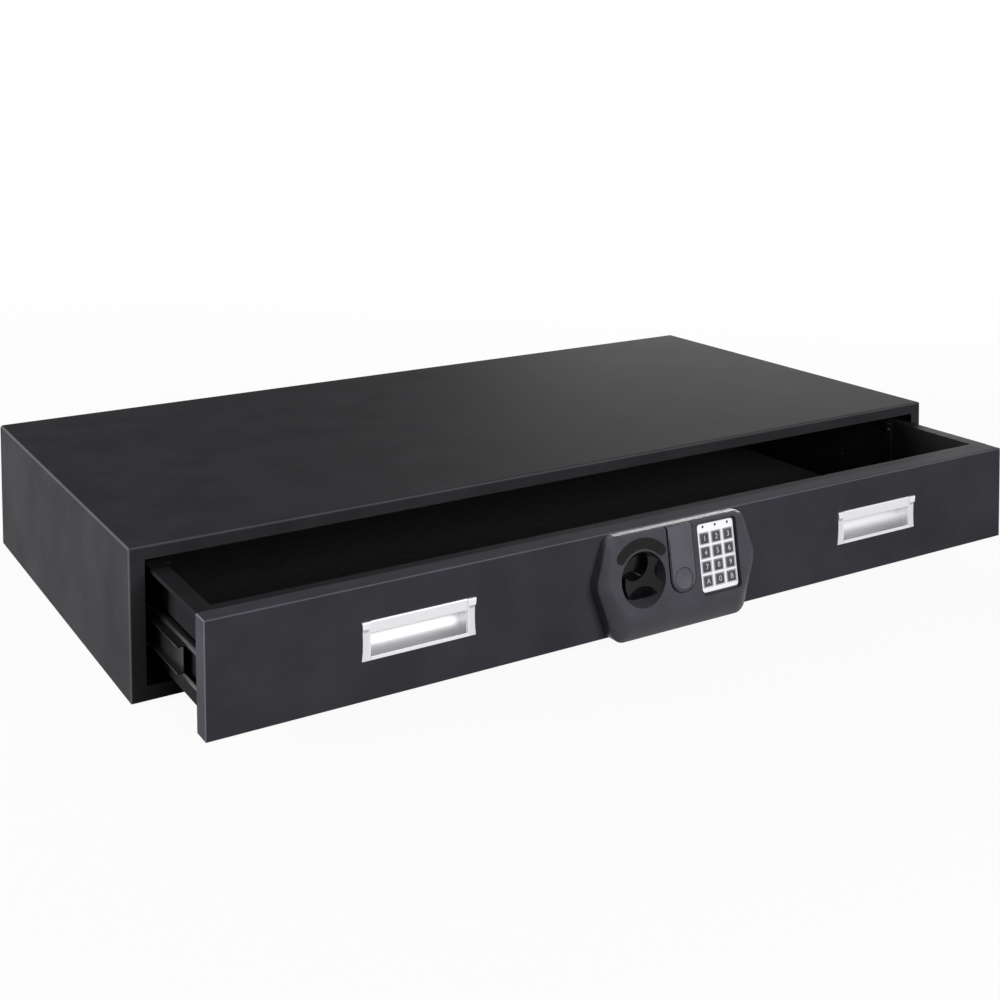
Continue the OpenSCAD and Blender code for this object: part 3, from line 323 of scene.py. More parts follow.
class ShaderTree:
    """The shader nodes of one material or world."""

    def __init__(self, owner):
        self.owner = owner
        owner.use_nodes = True
        self.nodes = owner.node_tree.nodes
        self.links = owner.node_tree.links
        self.nodes.clear()

    def set(self, socket, value):
        """Links a socket to a Value, or gives it a constant."""
        if isinstance(value, Value):
            self.links.new(value.socket, socket)
        elif isinstance(value, tuple) and len(value) == 3 and socket.type == "RGBA":
            socket.default_value = (*value, 1)
        else:
            socket.default_value = value

    def node(self, kind, settings=None, inputs=None, output=0):
        """Adds a node: its settings come first, then its sockets' values or links."""
        made = self.nodes.new(kind)
        for name, value in (settings or {}).items():
            setattr(made, name, value)
        for name, value in (inputs or {}).items():
            self.set(made.inputs[name], value)
        return Value(self, made.outputs[output]) if made.outputs else None

    def maths(self, operation, *values):
        """A Math node, named by its operation."""
        return self.node("ShaderNodeMath", {"operation": operation}, dict(enumerate(values)))

    def blend(self, share, first, second):
        """A colour between two others."""
        return self.node("ShaderNodeMix", {"data_type": "RGBA"}, {0: share, 6: first, 7: second}, output=2)

    def axis(self, index, vector):
        """One coordinate of a vector."""
        return self.node("ShaderNodeSeparateXYZ", {}, {0: vector}, output=index)

    def ray(self, kind):
        """1 for the rays of one kind."""
        return self.node("ShaderNodeLightPath", output=kind)


class Finish(ShaderTree):
    """A material that ends in one Principled shader."""

    def __init__(self, name, **settings):
        super().__init__(bpy.data.materials.new(name))
        self.shader = self.node("ShaderNodeBsdfPrincipled")
        self.node("ShaderNodeOutputMaterial", {}, {0: self.shader})
        self.surface(**settings)

    def surface(self, **sockets):
        """Sets or links the shader's sockets and gives the material."""
        inputs = self.shader.socket.node.inputs
        for name, value in sockets.items():
            self.set(inputs[name.replace("_", " ")], value)
        return self.owner

    def place(self, stretch=(1, 1, 1), centre=(0, 0, 0)):
        """Object coordinates about a centre, stretched."""
        where = self.node("ShaderNodeTexCoord", output="Object")
        moved = self.node("ShaderNodeVectorMath", {"operation": "SUBTRACT"}, {0: where, 1: centre})
        return self.node("ShaderNodeMapping", {}, {"Vector": moved, "Scale": stretch})

    def noise(self, size, detail, rough=0.55, where=None):
        """Soft noise whose grains are about this size, from 0 to 1 about a half."""
        return self.node("ShaderNodeTexNoise", {}, {"Vector": where or self.place(), "Scale": 1 / size,
                                                    "Detail": detail, "Roughness": rough})

    def between(self, low, high, value):
        """Turns a value from low to high into 0 to 1."""
        return self.node("ShaderNodeMapRange", {"clamp": True},
                         {"Value": value, "From Min": low, "From Max": high})

    def bump(self, height, depth, strength):
        """Normals for a relief of this depth."""
        return self.node("ShaderNodeBump", {}, {"Height": height, "Distance": depth, "Strength": strength})


def scaled(colour, share, more=0.0):
    """A colour made darker or paler."""
    return tuple(c * share + more for c in colour)


def powder_coat(name, colour, roughness, shine):
    """Matt powder coat: a fine orange peel, faint clouds, a little dust, and a painted highlight that makes
    the folds paler.
    """
    finish = Finish(name, Specular_IOR_Level=shine)
    clouds = finish.noise(90 * mm, 4)
    peel = finish.noise(0.9 * mm, 2, 0.5)
    speck = finish.between(0.68, 0.8, finish.noise(1.6 * mm, 2))
    tone = finish.blend(finish.between(0.35, 0.65, clouds), scaled(colour, 0.9), scaled(colour, 1.12, 0.002))
    dusty = finish.blend(speck * 0.35, tone, scaled(colour, 1.6, 0.004))
    normal = finish.node("ShaderNodeNewGeometry", output="Normal")
    turned = finish.node("ShaderNodeVectorMath", {"operation": "ABSOLUTE"}, {0: normal})
    x, y, z = (finish.axis(i, turned) for i in range(3))
    # Painted highlight: where the normal turns away from the box's axes, on the rounded folds, the colour
    # turns much paler
    fold_highlight = finish.between(0.02, 0.22, 1 - x.maths("MAXIMUM", y).maths("MAXIMUM", z))
    with_fold_highlight = finish.blend(fold_highlight * (0.55 + 0.5 * clouds), dusty, scaled(colour, 3.2, 0.01))
    return finish.surface(Base_Color=with_fold_highlight, Roughness=roughness - 0.05 + 0.1 * clouds,
                          Normal=finish.bump(peel, 0.05 * mm, 0.5))


def moulded(name, colour, roughness, shine):
    """Spark-textured moulding."""
    finish = Finish(name, Specular_IOR_Level=shine)
    sparks = finish.noise(0.45 * mm, 2, 0.6)
    clouds = finish.noise(35 * mm, 3)
    tone = finish.blend(finish.between(0.3, 0.7, clouds), scaled(colour, 0.92), scaled(colour, 1.1))
    return finish.surface(Base_Color=tone, Roughness=roughness - 0.04 + 0.08 * clouds,
                          Normal=finish.bump(sparks, 0.03 * mm, 0.6))


def key_plastic():
    """Key caps: dark in the middle, with a paler rim."""
    finish = Finish("key_caps", Specular_IOR_Level=0.4)
    where = finish.place(centre=tuple(KEYPAD.translation))
    column = finish.axis(0, where) * (1 / KEY_PITCH_X)
    row = (finish.axis(2, where) * (1 / math.cos(FACE_TILT)) - KEYS_DROP) * (1 / KEY_PITCH_Y) + 0.5
    across = column.maths("PINGPONG", 0.5) * KEY_PITCH_X
    up = row.maths("PINGPONG", 0.5) * KEY_PITCH_Y
    rim_in, rim_out = 5.3 * mm, 5.7 * mm
    rim = finish.between(rim_in, rim_out, across.maths("MAXIMUM", up))
    sparks = finish.noise(0.3 * mm, 2, 0.6)
    tone = finish.blend(rim, (0.05, 0.052, 0.066), (0.3, 0.3, 0.31))
    return finish.surface(Base_Color=finish.blend(sparks * 0.2, tone, (0.09, 0.09, 0.1)), Roughness=0.42,
                          Normal=finish.bump(sparks, 0.03 * mm, 0.5))


def drawn_metal(name, colour, roughness):
    """Metal with fine lines from front to back."""
    finish = Finish(name, Metallic=1.0)
    lines = finish.noise(0.15 * mm, 3, 0.6, finish.place((1, 0.02, 1)))
    clouds = finish.noise(20 * mm, 2)
    tone = finish.blend(finish.between(0.3, 0.7, lines), scaled(colour, 0.93), colour)
    return finish.surface(Base_Color=tone, Roughness=roughness - 0.06 + 0.08 * lines + 0.04 * clouds,
                          Normal=finish.bump(lines, 0.012 * mm, 0.4))


def handle_metal():
    """Drawn aluminium between cast end blocks, with painted shade on the blocks below their raised top and a
    painted shadow line under that step.
    """
    finish = Finish("satin_aluminium", Metallic=1.0)
    low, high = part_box("handle_right")
    middle, half = (low.x + high.x) / 2, (high.x - low.x) / 2
    end_block, raised_top, shadow_line_drop = 8.6 * mm, 8.9 * mm, 1 * mm
    shadow_line_out, shadow_line_in = 2.6 * mm, 0.6 * mm
    where = finish.place()
    z = finish.axis(2, where)
    block_end = (finish.axis(0, where).size() - middle).size().above(half - end_block)
    step = high.z - raised_top
    # Painted shade: the end blocks below their raised top get a greyer colour
    under = block_end * (step - z).above(0)
    # Painted shadow: a dark line just under the step of each end block
    line = block_end * finish.between(shadow_line_out, shadow_line_in, (step - shadow_line_drop - z).size())
    lines = finish.noise(0.15 * mm, 3, 0.6, finish.place((0.02, 1, 1)))
    cast = finish.noise(0.5 * mm, 2, 0.5)
    bar = finish.blend(finish.between(0.3, 0.7, lines), (0.72, 0.72, 0.735), (0.78, 0.78, 0.795))
    tone = finish.blend(under, bar, (0.66, 0.655, 0.67))
    tone = finish.blend(line * 0.6, tone, (0.22, 0.22, 0.23))
    return finish.surface(Base_Color=tone, Roughness=0.42 + 0.06 * lines + block_end * 0.04,
                          Normal=finish.bump(finish.blend(block_end, lines, cast), 0.012 * mm, 0.4))


def plated(name, colour, roughness, metallic=1.0):
    """Plated or blackened steel with a faint mottle."""
    finish = Finish(name, Metallic=metallic)
    mottle = finish.noise(4 * mm, 4, 0.6)
    tone = finish.blend(finish.between(0.3, 0.7, mottle), scaled(colour, 0.82), colour)
    return finish.surface(Base_Color=tone, Roughness=roughness - 0.08 + 0.16 * mottle,
                          Normal=finish.bump(finish.noise(0.8 * mm, 2), 0.02 * mm, 0.3))


def needle_felt():
    """Near-black felt with pale fibres."""
    finish = Finish("needle_felt", Specular_IOR_Level=0.02, Sheen_Weight=0.03, Sheen_Roughness=0.6)
    where = finish.place()
    warp = finish.noise(3 * mm, 2, 0.5, where)
    fibres = finish.noise(2 * mm, 5, 0.75, finish.place((1, 0.35, 1)))
    crossed = finish.noise(2 * mm, 5, 0.75, finish.place((0.35, 1, 1)))
    pale = finish.between(0.6, 0.74, fibres) * 0.6 + finish.between(0.6, 0.74, crossed) * 0.6
    patches = finish.between(0.3, 0.7, finish.noise(14 * mm, 3))
    ground = finish.blend(patches, (0.019, 0.0186, 0.0216), (0.031, 0.0304, 0.0345))
    tone = finish.blend(pale, ground, (0.1, 0.098, 0.11))
    height = fibres * 0.5 + crossed * 0.5 + warp
    return finish.surface(Base_Color=tone, Roughness=0.95, Normal=finish.bump(height, 0.5 * mm, 0.7))


def circuit_board():
    """Green solder mask over square tracks."""
    finish = Finish("solder_mask", Specular_IOR_Level=0.5, Coat_Weight=0.3)
    tracks = finish.node("ShaderNodeTexVoronoi", {"feature": "DISTANCE_TO_EDGE", "distance": "MANHATTAN"},
                         {"Vector": finish.place(), "Scale": 1 / (3 * mm)})
    tone = finish.blend(finish.between(0.05, 0.08, tracks), (0.03, 0.12, 0.07), (0.012, 0.06, 0.032))
    return finish.surface(Base_Color=tone, Roughness=0.35)


def wound_coil():
    """The solenoid's winding under its tape."""
    finish = Finish("taped_winding", Specular_IOR_Level=0.4)
    turns = finish.node("ShaderNodeTexWave", {"bands_direction": "X"},
                        {"Vector": finish.place(), "Scale": 1 / (4 * mm), "Distortion": 0.6, "Detail": 2.0})
    tone = finish.blend(turns, (0.09, 0.04, 0.016), (0.2, 0.1, 0.04))
    return finish.surface(Base_Color=tone, Roughness=0.5, Normal=finish.bump(turns, 0.1 * mm, 0.6))


def battery_sleeve():
    """A plain sleeve: dark below, copper colour near the button end."""
    finish = Finish("battery_sleeve", Specular_IOR_Level=0.5, Coat_Weight=0.4)
    low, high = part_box("batteries")
    height = high.z - low.z
    edge = low.z + 0.7 * height
    top = finish.between(edge, edge + 0.01 * height, finish.axis(2, finish.place()))
    tone = finish.blend(top, (0.02, 0.02, 0.022), (0.5, 0.26, 0.1))
    scuffs = finish.noise(6 * mm, 4)
    return finish.surface(Base_Color=tone, Roughness=0.25 + 0.15 * scuffs)


def printed(name, colour):
    """Printing ink, a little uneven."""
    finish = Finish(name, Specular_IOR_Level=0.4)
    tone = finish.blend(finish.noise(0.6 * mm, 3), scaled(colour, 0.88), colour)
    return finish.surface(Base_Color=tone, Roughness=0.55)


def lens_plastic():
    """The lamps' dark red lenses, unlit."""
    finish = Finish("lamp_lens", Specular_IOR_Level=0.5, Coat_Weight=0.5)
    tone = finish.blend(finish.noise(1.2 * mm, 2), (0.02, 0.006, 0.006), (0.045, 0.012, 0.012))
    return finish.surface(Base_Color=tone, Roughness=0.2)


COATS = {
    "case_steel": powder_coat("case_coat", (0.036, 0.0351, 0.0384), 0.66, 0.004),
    "drawer_steel": powder_coat("panel_coat", (0.056, 0.0532, 0.064), 0.62, 0.004),
    "tray_steel": powder_coat("tray_coat", (0.016, 0.0158, 0.0176), 0.6, 0.006),
    "slide_steel": plated("black_zinc", (0.03, 0.03, 0.032), 0.3, 0.7),
    "bearing_steel": plated("ball_steel", (0.66, 0.66, 0.68), 0.2),
    "felt": needle_felt(),
    "handle_metal": handle_metal(),
    "lock_plastic": moulded("lock_moulding", (0.08, 0.0765, 0.091), 0.38, 0.12),
    "knob_plastic": moulded("knob_moulding", (0.005, 0.0049, 0.0058), 0.2, 0.2),
    "keypad_metal": drawn_metal("keypad_silver", (0.84, 0.84, 0.86), 0.4),
    "key_plastic": key_plastic(),
    "lamp_plastic": lens_plastic(),
    "board": circuit_board(),
    "zinc_steel": plated("bright_zinc", (0.6, 0.61, 0.63), 0.32),
    "bronze": plated("sintered_bronze", (0.55, 0.4, 0.19), 0.45),
    "coil": wound_coil(),
    "battery_skin": battery_sleeve(),
}
COVER_PLASTIC = moulded("cover_moulding", (0.138, 0.132, 0.158), 0.4, 0.12)
KEY_INK = printed("key_ink", (0.72, 0.73, 0.76))
BORDER_METAL = drawn_metal("key_borders", (0.42, 0.42, 0.44), 0.42)

NODES_OF = {
    "case_steel": ["case_shell", "case_back", "slide_spacer_left", "slide_spacer_right"],
    "drawer_steel": ["front_panel"],
    "tray_steel": ["drawer_tray", "drawer_front_wall", "drawer_back", "side_strap_left", "side_strap_right"],
    "slide_steel": ["slide_outer_left", "slide_outer_right", "slide_middle_left", "slide_middle_right",
                    "slide_inner_left", "slide_inner_right", "strap_bolts"],
    "bearing_steel": ["outer_cage_left", "outer_cage_right", "inner_cage_left", "inner_cage_right"],
    "felt": ["floor_liner"],
    "handle_metal": ["handle_left", "handle_right"],
    "lock_plastic": ["lock_housing", "key_cover"],
    "knob_plastic": ["knob", "battery_holder", "key_switches"],
    "keypad_metal": ["keypad_plate"],
    "key_plastic": ["key_" + k for k in KEYS],
    "lamp_plastic": ["indicator_lamps"],
    "board": ["keypad_board"],
    "zinc_steel": ["slide_screws_case", "slide_screws_drawer", "handle_screws", "housing_screws",
                   "key_lock_body", "bolt_guide", "guide_pins", "pinion_spindle", "bolt_carriage",
                   "live_bolts", "solenoid_plunger"],
    "bronze": ["spindle_bush", "key_plug"],
    "coil": ["solenoid"],
    "battery_skin": ["batteries"],
}


def coat_nodes():
    """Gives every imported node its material."""
    for slot, nodes in NODES_OF.items():
        for node in nodes:
            mesh = frame["nodes"][node].data
            mesh.materials.clear()
            mesh.materials.append(COATS[slot])


# The lock


def swept(place, radius, wide, low, high, start, end, steps=48):
    """An arc about z with an upright rectangular section, from one angle to another."""
    bpy.ops.mesh.primitive_plane_add(size=1)
    piece = bpy.context.object
    section = Matrix.Rotation(start, 4, "Z") @ Matrix.Translation((radius, 0, (low + high) / 2))
    at_rest(piece, section @ Matrix.Rotation(math.pi / 2, 4, "X") @ Matrix.Diagonal((wide, high - low, 1, 1)))
    with Editing(piece):
        bpy.ops.mesh.spin(steps=steps, angle=start - end, center=(0, 0, 0), axis=(0, 0, 1))
        bpy.ops.mesh.select_all(action="SELECT")
        bpy.ops.mesh.normals_make_consistent(inside=False)
    return at_rest(piece, place)


def joined(*pieces):
    """Makes one piece of several that do not have to be one solid."""
    bpy.ops.object.select_all(action="DESELECT")
    for piece in pieces:
        piece.select_set(True)
    bpy.context.view_layer.objects.active = pieces[0]
    bpy.ops.object.join()
    return pieces[0]


def housing_rings(inset):
    """The circles that the housing's smooth form goes round: matrix and radius of each."""
    # The slope from face to rim: share of the way out, and share of the drop
    steps, even, curved = 12, 0.55, 0.45
    slope = [(i / steps, even * i / steps + curved * (i / steps) ** 2) for i in range(steps)]
    slope += [(0.985, 1.0), (1.0, 1.12)]
    rings = []
    for share, drop in slope:
        tilt = FACE_TILT + (SKIRT_TILT - FACE_TILT) * drop
        depth = FACE_DEPTH + (SKIRT_DEPTH - FACE_DEPTH) * drop - inset
        for face, rim in zip(FACE_CIRCLES, RIM_CIRCLES):
            x, z, r = (mm * (f + (g - f) * share) for f, g in zip(face, rim))
            for side in (-1, 1):
                spot = Matrix.Translation((side * x, up_face(z, tilt), 0))
                rings.append((leaning(depth, tilt) @ spot, r - inset))
    # The hollow's form starts behind the panel's face, which leaves the housing open at the back
    back = -1 * mm if inset else 0
    for x, z, r in RIM_CIRCLES:
        for side in (-1, 1):
            rings.append((facing(side * x * mm, z * mm, back), r * mm - inset))
    return rings


def hulled(rings, sides=96):
    """The smooth closed form that is stretched round a set of circles."""
    bpy.ops.mesh.primitive_circle_add(vertices=sides, radius=rings[0][1])
    piece = at_rest(bpy.context.object, rings[0][0])
    with Editing(piece):
        for place, radius in rings[1:]:
            bpy.ops.mesh.primitive_circle_add(vertices=sides, radius=radius, location=place.translation,
                                              rotation=place.to_euler())
        bpy.ops.mesh.select_all(action="SELECT")
        bpy.ops.mesh.convex_hull()
        bpy.ops.mesh.select_all(action="SELECT")
        bpy.ops.mesh.dissolve_limited(angle_limit=math.radians(0.2))
    return piece


def band_pieces(width, low, high, end_r, end_low, end_high):
    """An arc over the knob and its two round ends, each between two heights over the face."""
    out = Matrix.Translation((BAND_R, 0, 0))
    ends = [BAND_CENTRE @ Matrix.Rotation(angle, 4, "Z") @ out for angle in (BAND_FROM, BAND_TO)]
    return [swept(BAND_CENTRE, BAND_R, width, low, high, BAND_FROM, BAND_TO)] + [
        disc(end_r, end_low, end_high, end) for end in ends]


def band_cutters():
    """The curved recess over the knob, with round ends a hair shallower and narrower, which clean() joins."""
    tall, hair = 8 * mm, 0.02 * mm
    return band_pieces(BAND_W, -BAND_DEPTH, tall, BAND_W / 2 - hair, hair - BAND_DEPTH, tall + hair)


def slot_form(grow, low, high, beside=0.0):
    """The key cover's outline on the face: a round end with straight sides up past the top."""
    tall = 100 * mm
    return hulled([(COVER_END @ Matrix.Translation((x, y, z)), COVER_R + grow)
                   for x in (0, -beside) for y in (0, tall) for z in (low, high)])


def bed_form(grow, low, high):
    """The bed that the cover slides in, with the open channel on the knob's side."""
    return slot_form(COVER_GAP + grow, low, high, COVER_CHANNEL)


def pocket_form(grow):
    """The keypad's pocket, from behind the plate to past the face."""
    middle = KEYPAD @ Matrix.Translation((0, 0, OVER_FACE / 2 - PLATE_T - grow))
    return block((POCKET_W + 2 * grow, POCKET_H + 2 * grow, OVER_FACE), middle, POCKET_CORNER + grow)


def lock_housing():
    """The moulded housing: hollow, with posts, the knob's cup, the cover's bed and the keypad's pocket."""
    body = hulled(housing_rings(0))
    hollow = hulled(housing_rings(HOUSING_WALL))
    ledge, post_back = 2 * mm, -2 * mm
    solid = [disc(CUP_MOUTH_R + HOUSING_WALL, CUP_FLOOR - HOUSING_WALL, PAST_FRONT, KNOB_PLACE),
             bed_form(HOUSING_WALL, -COVER_T - HOUSING_WALL, OVER_FACE), pocket_form(ledge)]
    solid += [disc(POST_R, post_back, PAST_FRONT, place, sides=32) for place in POST_PLACES]
    cut(hollow, *solid)
    cut(body, hollow)
    cut(body, disc(CUP_FLOOR_R, CUP_FLOOR, CUP_MOUTH, KNOB_PLACE, CUP_MOUTH_R),
        disc(SPINDLE_HOLE_R, -OVER_FACE, OVER_FACE, KNOB_PLACE), *band_cutters())
    cut(body, bed_form(0, -BED_DEPTH, OVER_FACE))
    cut(body, disc(KEY_LOCK_HOLE_R, -OVER_FACE, PAST_FRONT, KEY_LOCK_PLACE))
    cut(body, pocket_form(0), block((WINDOW_W, WINDOW_H, 2 * OVER_FACE), KEYPAD))
    hole_back, hole_end = -5 * mm, 12 * mm
    for place in POST_PLACES:
        cut(body, disc(POST_HOLE_R, hole_back, hole_end, place, sides=24))
    clean(body, 0.2)
    eased(body, HOUSING_EDGE, 3, 32)
    named(body, "lock_housing_shell", "drawer", "lock_plastic", COATS["lock_plastic"], "lock_housing")


def band_inlay():
    """The darker glossy strip in the recess over the knob, sunk into its floor."""
    edge, sunk, proud, step = 0.3 * mm, 0.2 * mm, 0.15 * mm, 0.01 * mm
    low, high = -BAND_DEPTH - sunk, -BAND_DEPTH + proud
    pieces = band_pieces(BAND_W - 2 * edge, low, high, BAND_W / 2 - edge, low, high - step)
    for piece in pieces:
        cut(piece, disc(CUP_MOUTH_R + edge, 0, PAST_FRONT, KNOB_PLACE))
    strip = joined(*pieces)
    eased(strip, 0)
    named(strip, "band_inlay", "drawer", "lock_plastic", COATS["knob_plastic"])


def scoop(place, height, radius, depth, segments):
    """A ball that sinks into a face at this height, as wide and as deep there as asked."""
    ball = (radius ** 2 + depth ** 2) / (2 * depth)
    bpy.ops.mesh.primitive_uv_sphere_add(segments=segments, ring_count=segments, radius=ball)
    return at_rest(bpy.context.object, place @ Matrix.Translation((0, 0, height - depth + ball)))


def edge_line(wide, low, high):
    """The line that follows the cover's edge: down its left side and round most of its lower end."""
    inner, past = -1.7 * mm, 1 * mm
    across, bottom, top = 40 * mm, -10.6 * mm, 46 * mm
    right_side = COVER_END @ Matrix.Translation((across / 2, bottom + top, 0))
    upper_end = COVER_END @ Matrix.Translation((0, 2 * top, 0))
    line = slot_form(inner + wide, low, high)
    return cut(line, slot_form(inner, low - past, high + past),
               block((across, 2 * top, across), right_side),
               block((2 * across, 2 * top, across), upper_end))


def dimple_ring(thick):
    """A ring round the thumb dimple, sunk by half in the face."""
    bpy.ops.mesh.primitive_torus_add(major_radius=DIMPLE_R + DIMPLE_RING / 2, minor_radius=thick,
                                     major_segments=90, minor_segments=12)
    return at_rest(bpy.context.object, DIMPLE)


def key_cover():
    """The sliding strip: a thumb dimple in a fine ring and a groove along its edge, with dark fillers in both
    as painted shadow.
    """
    slack, groove, filled = 0.15 * mm, 1.0 * mm, 0.35 * mm
    piece = hulled(housing_rings(0))
    cut(piece, slot_form(-slack, -COVER_T, OVER_FACE), operation="INTERSECT")
    clean(piece, 0.2)
    eased(piece, 0.4 * mm, 3, 60)
    cut(piece, edge_line(groove, -groove, 2 * groove), scoop(DIMPLE, 0, DIMPLE_R, DIMPLE_DEPTH, 96),
        dimple_ring(DIMPLE_RING))
    eased(piece, 0, sharp=35)
    # Painted shadow: dark fillers sunk a little into the ring and along the groove
    ring = dimple_ring(DIMPLE_RING - 0.05 * mm)
    wide, thick = 40 * mm, 2 * mm
    cut(ring, block((wide, wide, thick), DIMPLE @ Matrix.Translation((0, 0, (thick - filled) / 2))))
    line = edge_line(groove - 0.04 * mm, 0.02 * mm - groove, -filled)
    named(joined(ring, line), "cover_painted_shadows", "key_cover_plate", "lock_plastic", COATS["knob_plastic"])
    named(piece, "key_cover_strip", "key_cover_plate", "lock_plastic", COVER_PLASTIC, "key_cover")


def knob():
    """Three rounded arms round a dished hub on a base disc, with a raised plate in the upper left hollow."""
    arms = disc(KNOB_R, KNOB_BACK, KNOB_FRONT, KNOB_PLACE)
    dish_r, dish_depth = 29 * mm, 2.6 * mm
    tools = [scoop(KNOB_PLACE, KNOB_FRONT, dish_r, dish_depth, 192)]
    for x, y, low_r, high_r in KNOB_HOLLOWS:
        middle = KNOB_PLACE @ Matrix.Translation((x * mm, y * mm, 0))
        tools.append(disc(low_r * mm, KNOB_FLOOR, PAST_KNOB, middle, high_r * mm))
    cut(arms, *tools)
    clean(arms, 0.3)
    modifier(arms, "BEVEL", width=2.2 * mm, segments=5, limit_method="ANGLE", angle_limit=math.radians(35),
             miter_outer="MITER_ARC", use_clamp_overlap=True)
    base = disc(KNOB_R + 0.5 * mm, KNOB_BACK, KNOB_FLOOR, KNOB_PLACE)
    modifier(base, "BEVEL", width=0.4 * mm, segments=2, limit_method="ANGLE")
    # The plate is a corner between two directions, cut to the round of the knob
    corner, reach, thick, plate_r = Vector((0.4, 9.9)) * mm, 40 * mm, 1.6 * mm, 25.4 * mm
    directions = (math.radians(83), math.radians(189))
    first, second = ((math.cos(a) * reach, math.sin(a) * reach) for a in directions)
    wedge = Matrix(((first[0], second[0], 0, corner.x), (first[1], second[1], 0, corner.y),
                    (0, 0, thick, KNOB_FLOOR), (0, 0, 0, 1)))
    plate = block((1, 1, 1), KNOB_PLACE @ wedge @ Matrix.Translation((0.5, 0.5, 0.5)))
    cut(plate, disc(plate_r, 0, PAST_KNOB, KNOB_PLACE), operation="INTERSECT")
    clean(plate, 0.3)
    modifier(plate, "BEVEL", width=0.45 * mm, segments=3, limit_method="ANGLE")
    piece = joined(arms, base, plate)
    eased(piece, 0, sharp=40)
    named(piece, "knob_body", "knob_set", "knob_plastic", COATS["knob_plastic"], "knob")


def bed_painted_shade():
    """A black strip on the floor of the cover's bed, up to the housing's top: painted shade in the bed's open
    channel.
    """
    low, high = -COVER_T - 0.28 * mm, -COVER_T - 0.06 * mm
    slack, hole_r, wide = 0.1 * mm, 9.2 * mm, 200 * mm
    # Painted shade: a dark sheet on the bed's floor, where the channel is in shade
    strip = slot_form(COVER_GAP - slack, low, high, COVER_CHANNEL)
    cut(strip, disc(hole_r, 0, PAST_FRONT, KEY_LOCK_PLACE),
        block((wide, wide, PAST_FRONT), FACE @ Matrix.Translation((0, wide / 2, 0))))
    eased(strip, 0)
    named(strip, "bed_painted_shade", "drawer", "lock_plastic", COATS["knob_plastic"])


def key_places(height):
    """Each key's name, with its middle at a height over the keypad."""
    for i, key in enumerate(KEYS):
        across, up = i % 3 - 1, 1.5 - i // 3
        yield key, KEYPAD @ Matrix.Translation((across * KEY_PITCH_X, KEYS_DROP + up * KEY_PITCH_Y, height))


def key_borders():
    """The fine darker border on the plate round each key."""
    outer, outer_corner = (15.9 * mm, 14.9 * mm, 0.12 * mm), 1.2 * mm
    inner, inner_corner = (12.4 * mm, 12.9 * mm, 1 * mm), 1.6 * mm
    for key, place in key_places(0):
        piece = block(outer, place, outer_corner, 4)
        cut(piece, block(inner, place, inner_corner, 4))
        named(piece, "key_border_" + key, "drawer", "keypad_metal", BORDER_METAL)


def key_characters():
    """The printed character on each key."""
    for key, place in key_places(KEY_PROUD):
        bpy.ops.object.text_add()
        piece = bpy.context.object
        piece.data.body = key.upper()
        piece.data.size = 9 * mm
        piece.data.align_x = "CENTER"
        piece.data.align_y = "CENTER"
        piece.data.extrude = 0.03 * mm
        piece.data.offset = 0.12 * mm
        only(piece)
        bpy.ops.object.convert(target="MESH")
        at_rest(piece, place)
        named(piece, "character_" + key, "key_" + key + "_cap", "key_plastic", KEY_INK)


# The drawer's felt


def felt_liner():
    """The felt sheet on the drawer's floor, a little inside the node's box, with soft edges."""
    low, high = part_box("floor_liner")
    size = high - low
    inset, under_top, thinner, edge = 0.4 * mm, 0.5 * mm, 0.8 * mm, 0.9 * mm
    bpy.ops.mesh.primitive_grid_add(x_subdivisions=160, y_subdivisions=76, size=1)
    piece = bpy.context.object
    piece.data.transform(Matrix.Diagonal((size.x - 2 * inset, size.y - 2 * inset, 1, 1)))
    at_rest(piece, Matrix.Translation(((low.x + high.x) / 2, (low.y + high.y) / 2, high.z - under_top)))
    modifier(piece, "SOLIDIFY", thickness=size.z - thinner, offset=-1)
    modifier(piece, "BEVEL", width=edge, segments=3, limit_method="ANGLE")
    eased(piece, 0, sharp=50)
    named(piece, "felt_floor", "drawer", "felt", COATS["felt"], "floor_liner")


# The stage


def seen(tree):
    """More than 0 for the rays that see the background: the camera's, reflected and refracted ones."""
    return tree.ray("Is Camera Ray") + tree.ray("Is Glossy Ray") + tree.ray("Is Transmission Ray")


def ground():
    """Pale ground: seen as white far off, while nearer it keeps some of the object's shadow."""
    bpy.ops.mesh.primitive_circle_add(vertices=64, radius=30, fill_type="NGON")
    floor = bpy.context.object
    floor.name = "pale_floor"
    near, far, near_share = 1, 3, 0.94
    tree = ShaderTree(bpy.data.materials.new("pale_ground"))
    middle = tree.node("ShaderNodeTexCoord", output="Object")
    away = tree.node("ShaderNodeVectorMath", {"operation": "LENGTH"}, {0: middle}, output="Value")
    bright = tree.node("ShaderNodeMapRange", {}, {"Value": away, "From Min": near, "From Max": far,
                                                  "To Min": near_share, "To Max": 1})
    tint = tree.blend(tree.ray("Is Camera Ray"), (0.22, 0.22, 0.22), (0.82, 0.82, 0.82))
    plain = tree.node("ShaderNodeBsdfDiffuse", {}, {"Color": tint})
    white = tree.node("ShaderNodeEmission", {}, {"Strength": 1})
    share = (seen(tree) * bright).maths("MINIMUM", 1)
    mixed = tree.node("ShaderNodeMixShader", {}, {0: share, 1: plain, 2: white})
    tree.node("ShaderNodeOutputMaterial", {}, {0: mixed})
    floor.data.materials.append(tree.owner)


def sky():
    """A dim even light that is seen as white."""
    bpy.context.scene.world = bpy.data.worlds.new("studio")
    tree = ShaderTree(bpy.context.scene.world)
    dim, white = (tree.node("ShaderNodeBackground", {}, {"Color": (1, 1, 1), "Strength": strength})
                  for strength in (0.12, 1))
    mixed = tree.node("ShaderNodeMixShader", {}, {0: seen(tree).maths("MINIMUM", 1), 1: dim, 2: white})
    tree.node("ShaderNodeOutputWorld", {}, {0: mixed})


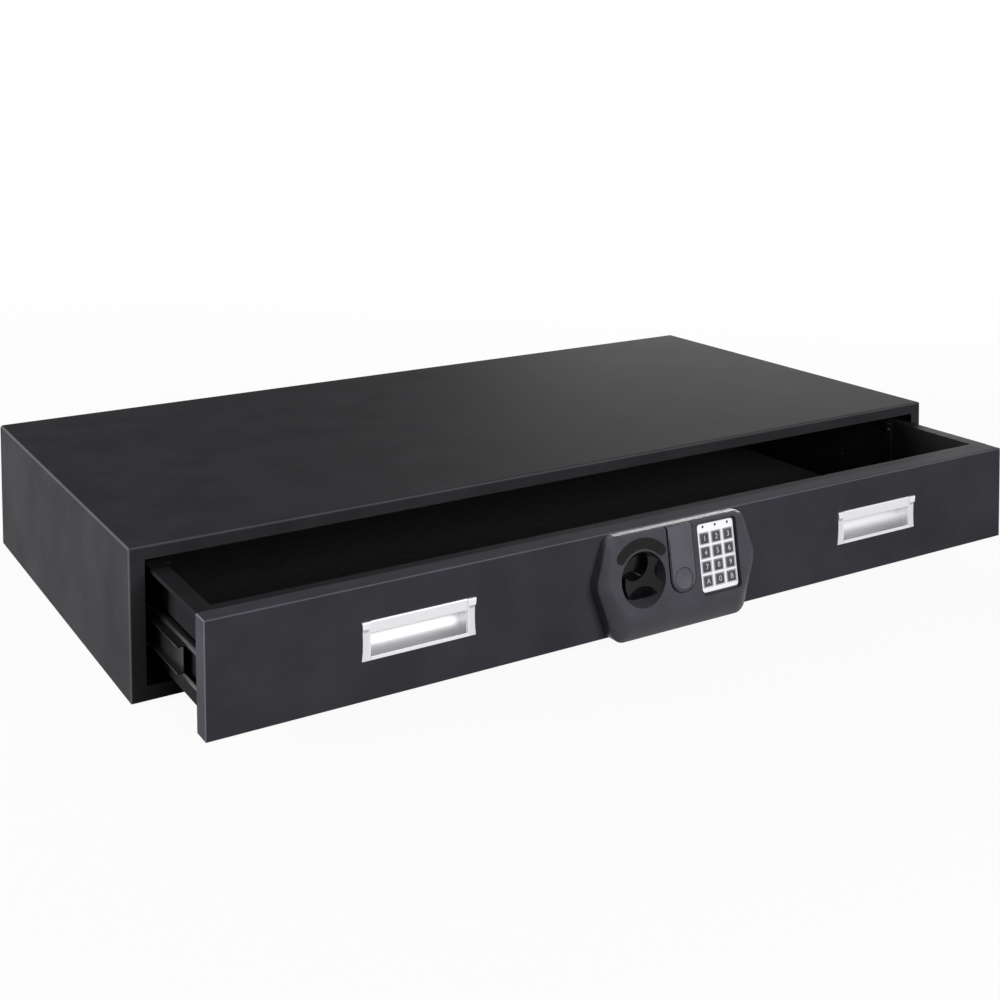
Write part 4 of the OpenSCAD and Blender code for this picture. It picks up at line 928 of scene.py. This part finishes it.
def lamp(name, spot, target, size, watts):
    """A softbox at a spot, turned to its target."""
    bpy.ops.object.light_add(type="AREA", location=spot)
    light = bpy.context.object
    light.name = name
    light.data.shape = "RECTANGLE"
    light.data.size, light.data.size_y = size
    light.data.energy = watts
    light.rotation_euler = (Vector(target) - Vector(spot)).to_track_quat("-Z", "Y").to_euler()


def camera():
    """The photograph's viewpoint, found from the edges in it."""
    spot = (-1.07066, -1.8517, 0.72021)
    yaw, pitch, roll = math.radians(31.209), math.radians(3.178), math.radians(-0.2999)
    ahead = Vector((math.sin(yaw) * math.cos(pitch), math.cos(yaw) * math.cos(pitch), -math.sin(pitch)))
    level = Vector((math.cos(yaw), -math.sin(yaw), 0))
    above = level.cross(ahead)
    right = math.cos(roll) * level + math.sin(roll) * above
    up = -math.sin(roll) * level + math.cos(roll) * above
    bpy.ops.object.camera_add()
    view = bpy.context.object
    turn = Matrix((right, up, -ahead)).transposed()
    view.matrix_world = Matrix.Translation(spot) @ turn.to_4x4()
    view.data.sensor_width = 36
    view.data.lens = 52.677
    view.data.shift_y = -0.3745
    view.data.clip_end = 100
    bpy.context.scene.camera = view


def studio():
    """The pale ground, the sky and three softboxes."""
    ground()
    sky()
    lamp("left_softbox", (-3.6, 0.9, 0.8), (-0.5, 0, 0.1), (2.2, 1.2), 185)
    lamp("back_softbox", (3.0, 2.6, 0.65), (0.2, 0.1, 0.1), (2.4, 1.0), 180)
    lamp("front_softbox", (0.1, -3.2, 1.25), (0.1, -0.3, 0.1), (2.4, 1.1), 58)
    bpy.context.scene.view_settings.view_transform = "Standard"


coat_nodes()
lock_housing()
band_inlay()
bed_painted_shade()
key_cover()
key_borders()
key_characters()
knob()
felt_liner()
for key in KEYS:
    eased_copy("key_" + key, 0.3 * mm, "key_plastic")
for node in ("handle_left", "handle_right"):
    eased_copy(node, 0.35 * mm, "handle_metal")
eased_copy("keypad_plate", 0.25 * mm, "keypad_metal")

# How far back from a piece's front its folds are bent
SHELL_FOLDS, PANEL_FOLDS = 600 * mm, 1 * mm
eased_copy("case_shell", 0.25 * mm, "case_steel", 1.6 * mm, lambda a, b: min(a.y, b.y) < SHELL_FOLDS)
eased_copy("front_panel", 0.25 * mm, "drawer_steel", 1.2 * mm, lambda a, b: a.y + b.y < PANEL_FOLDS)

studio()
camera()
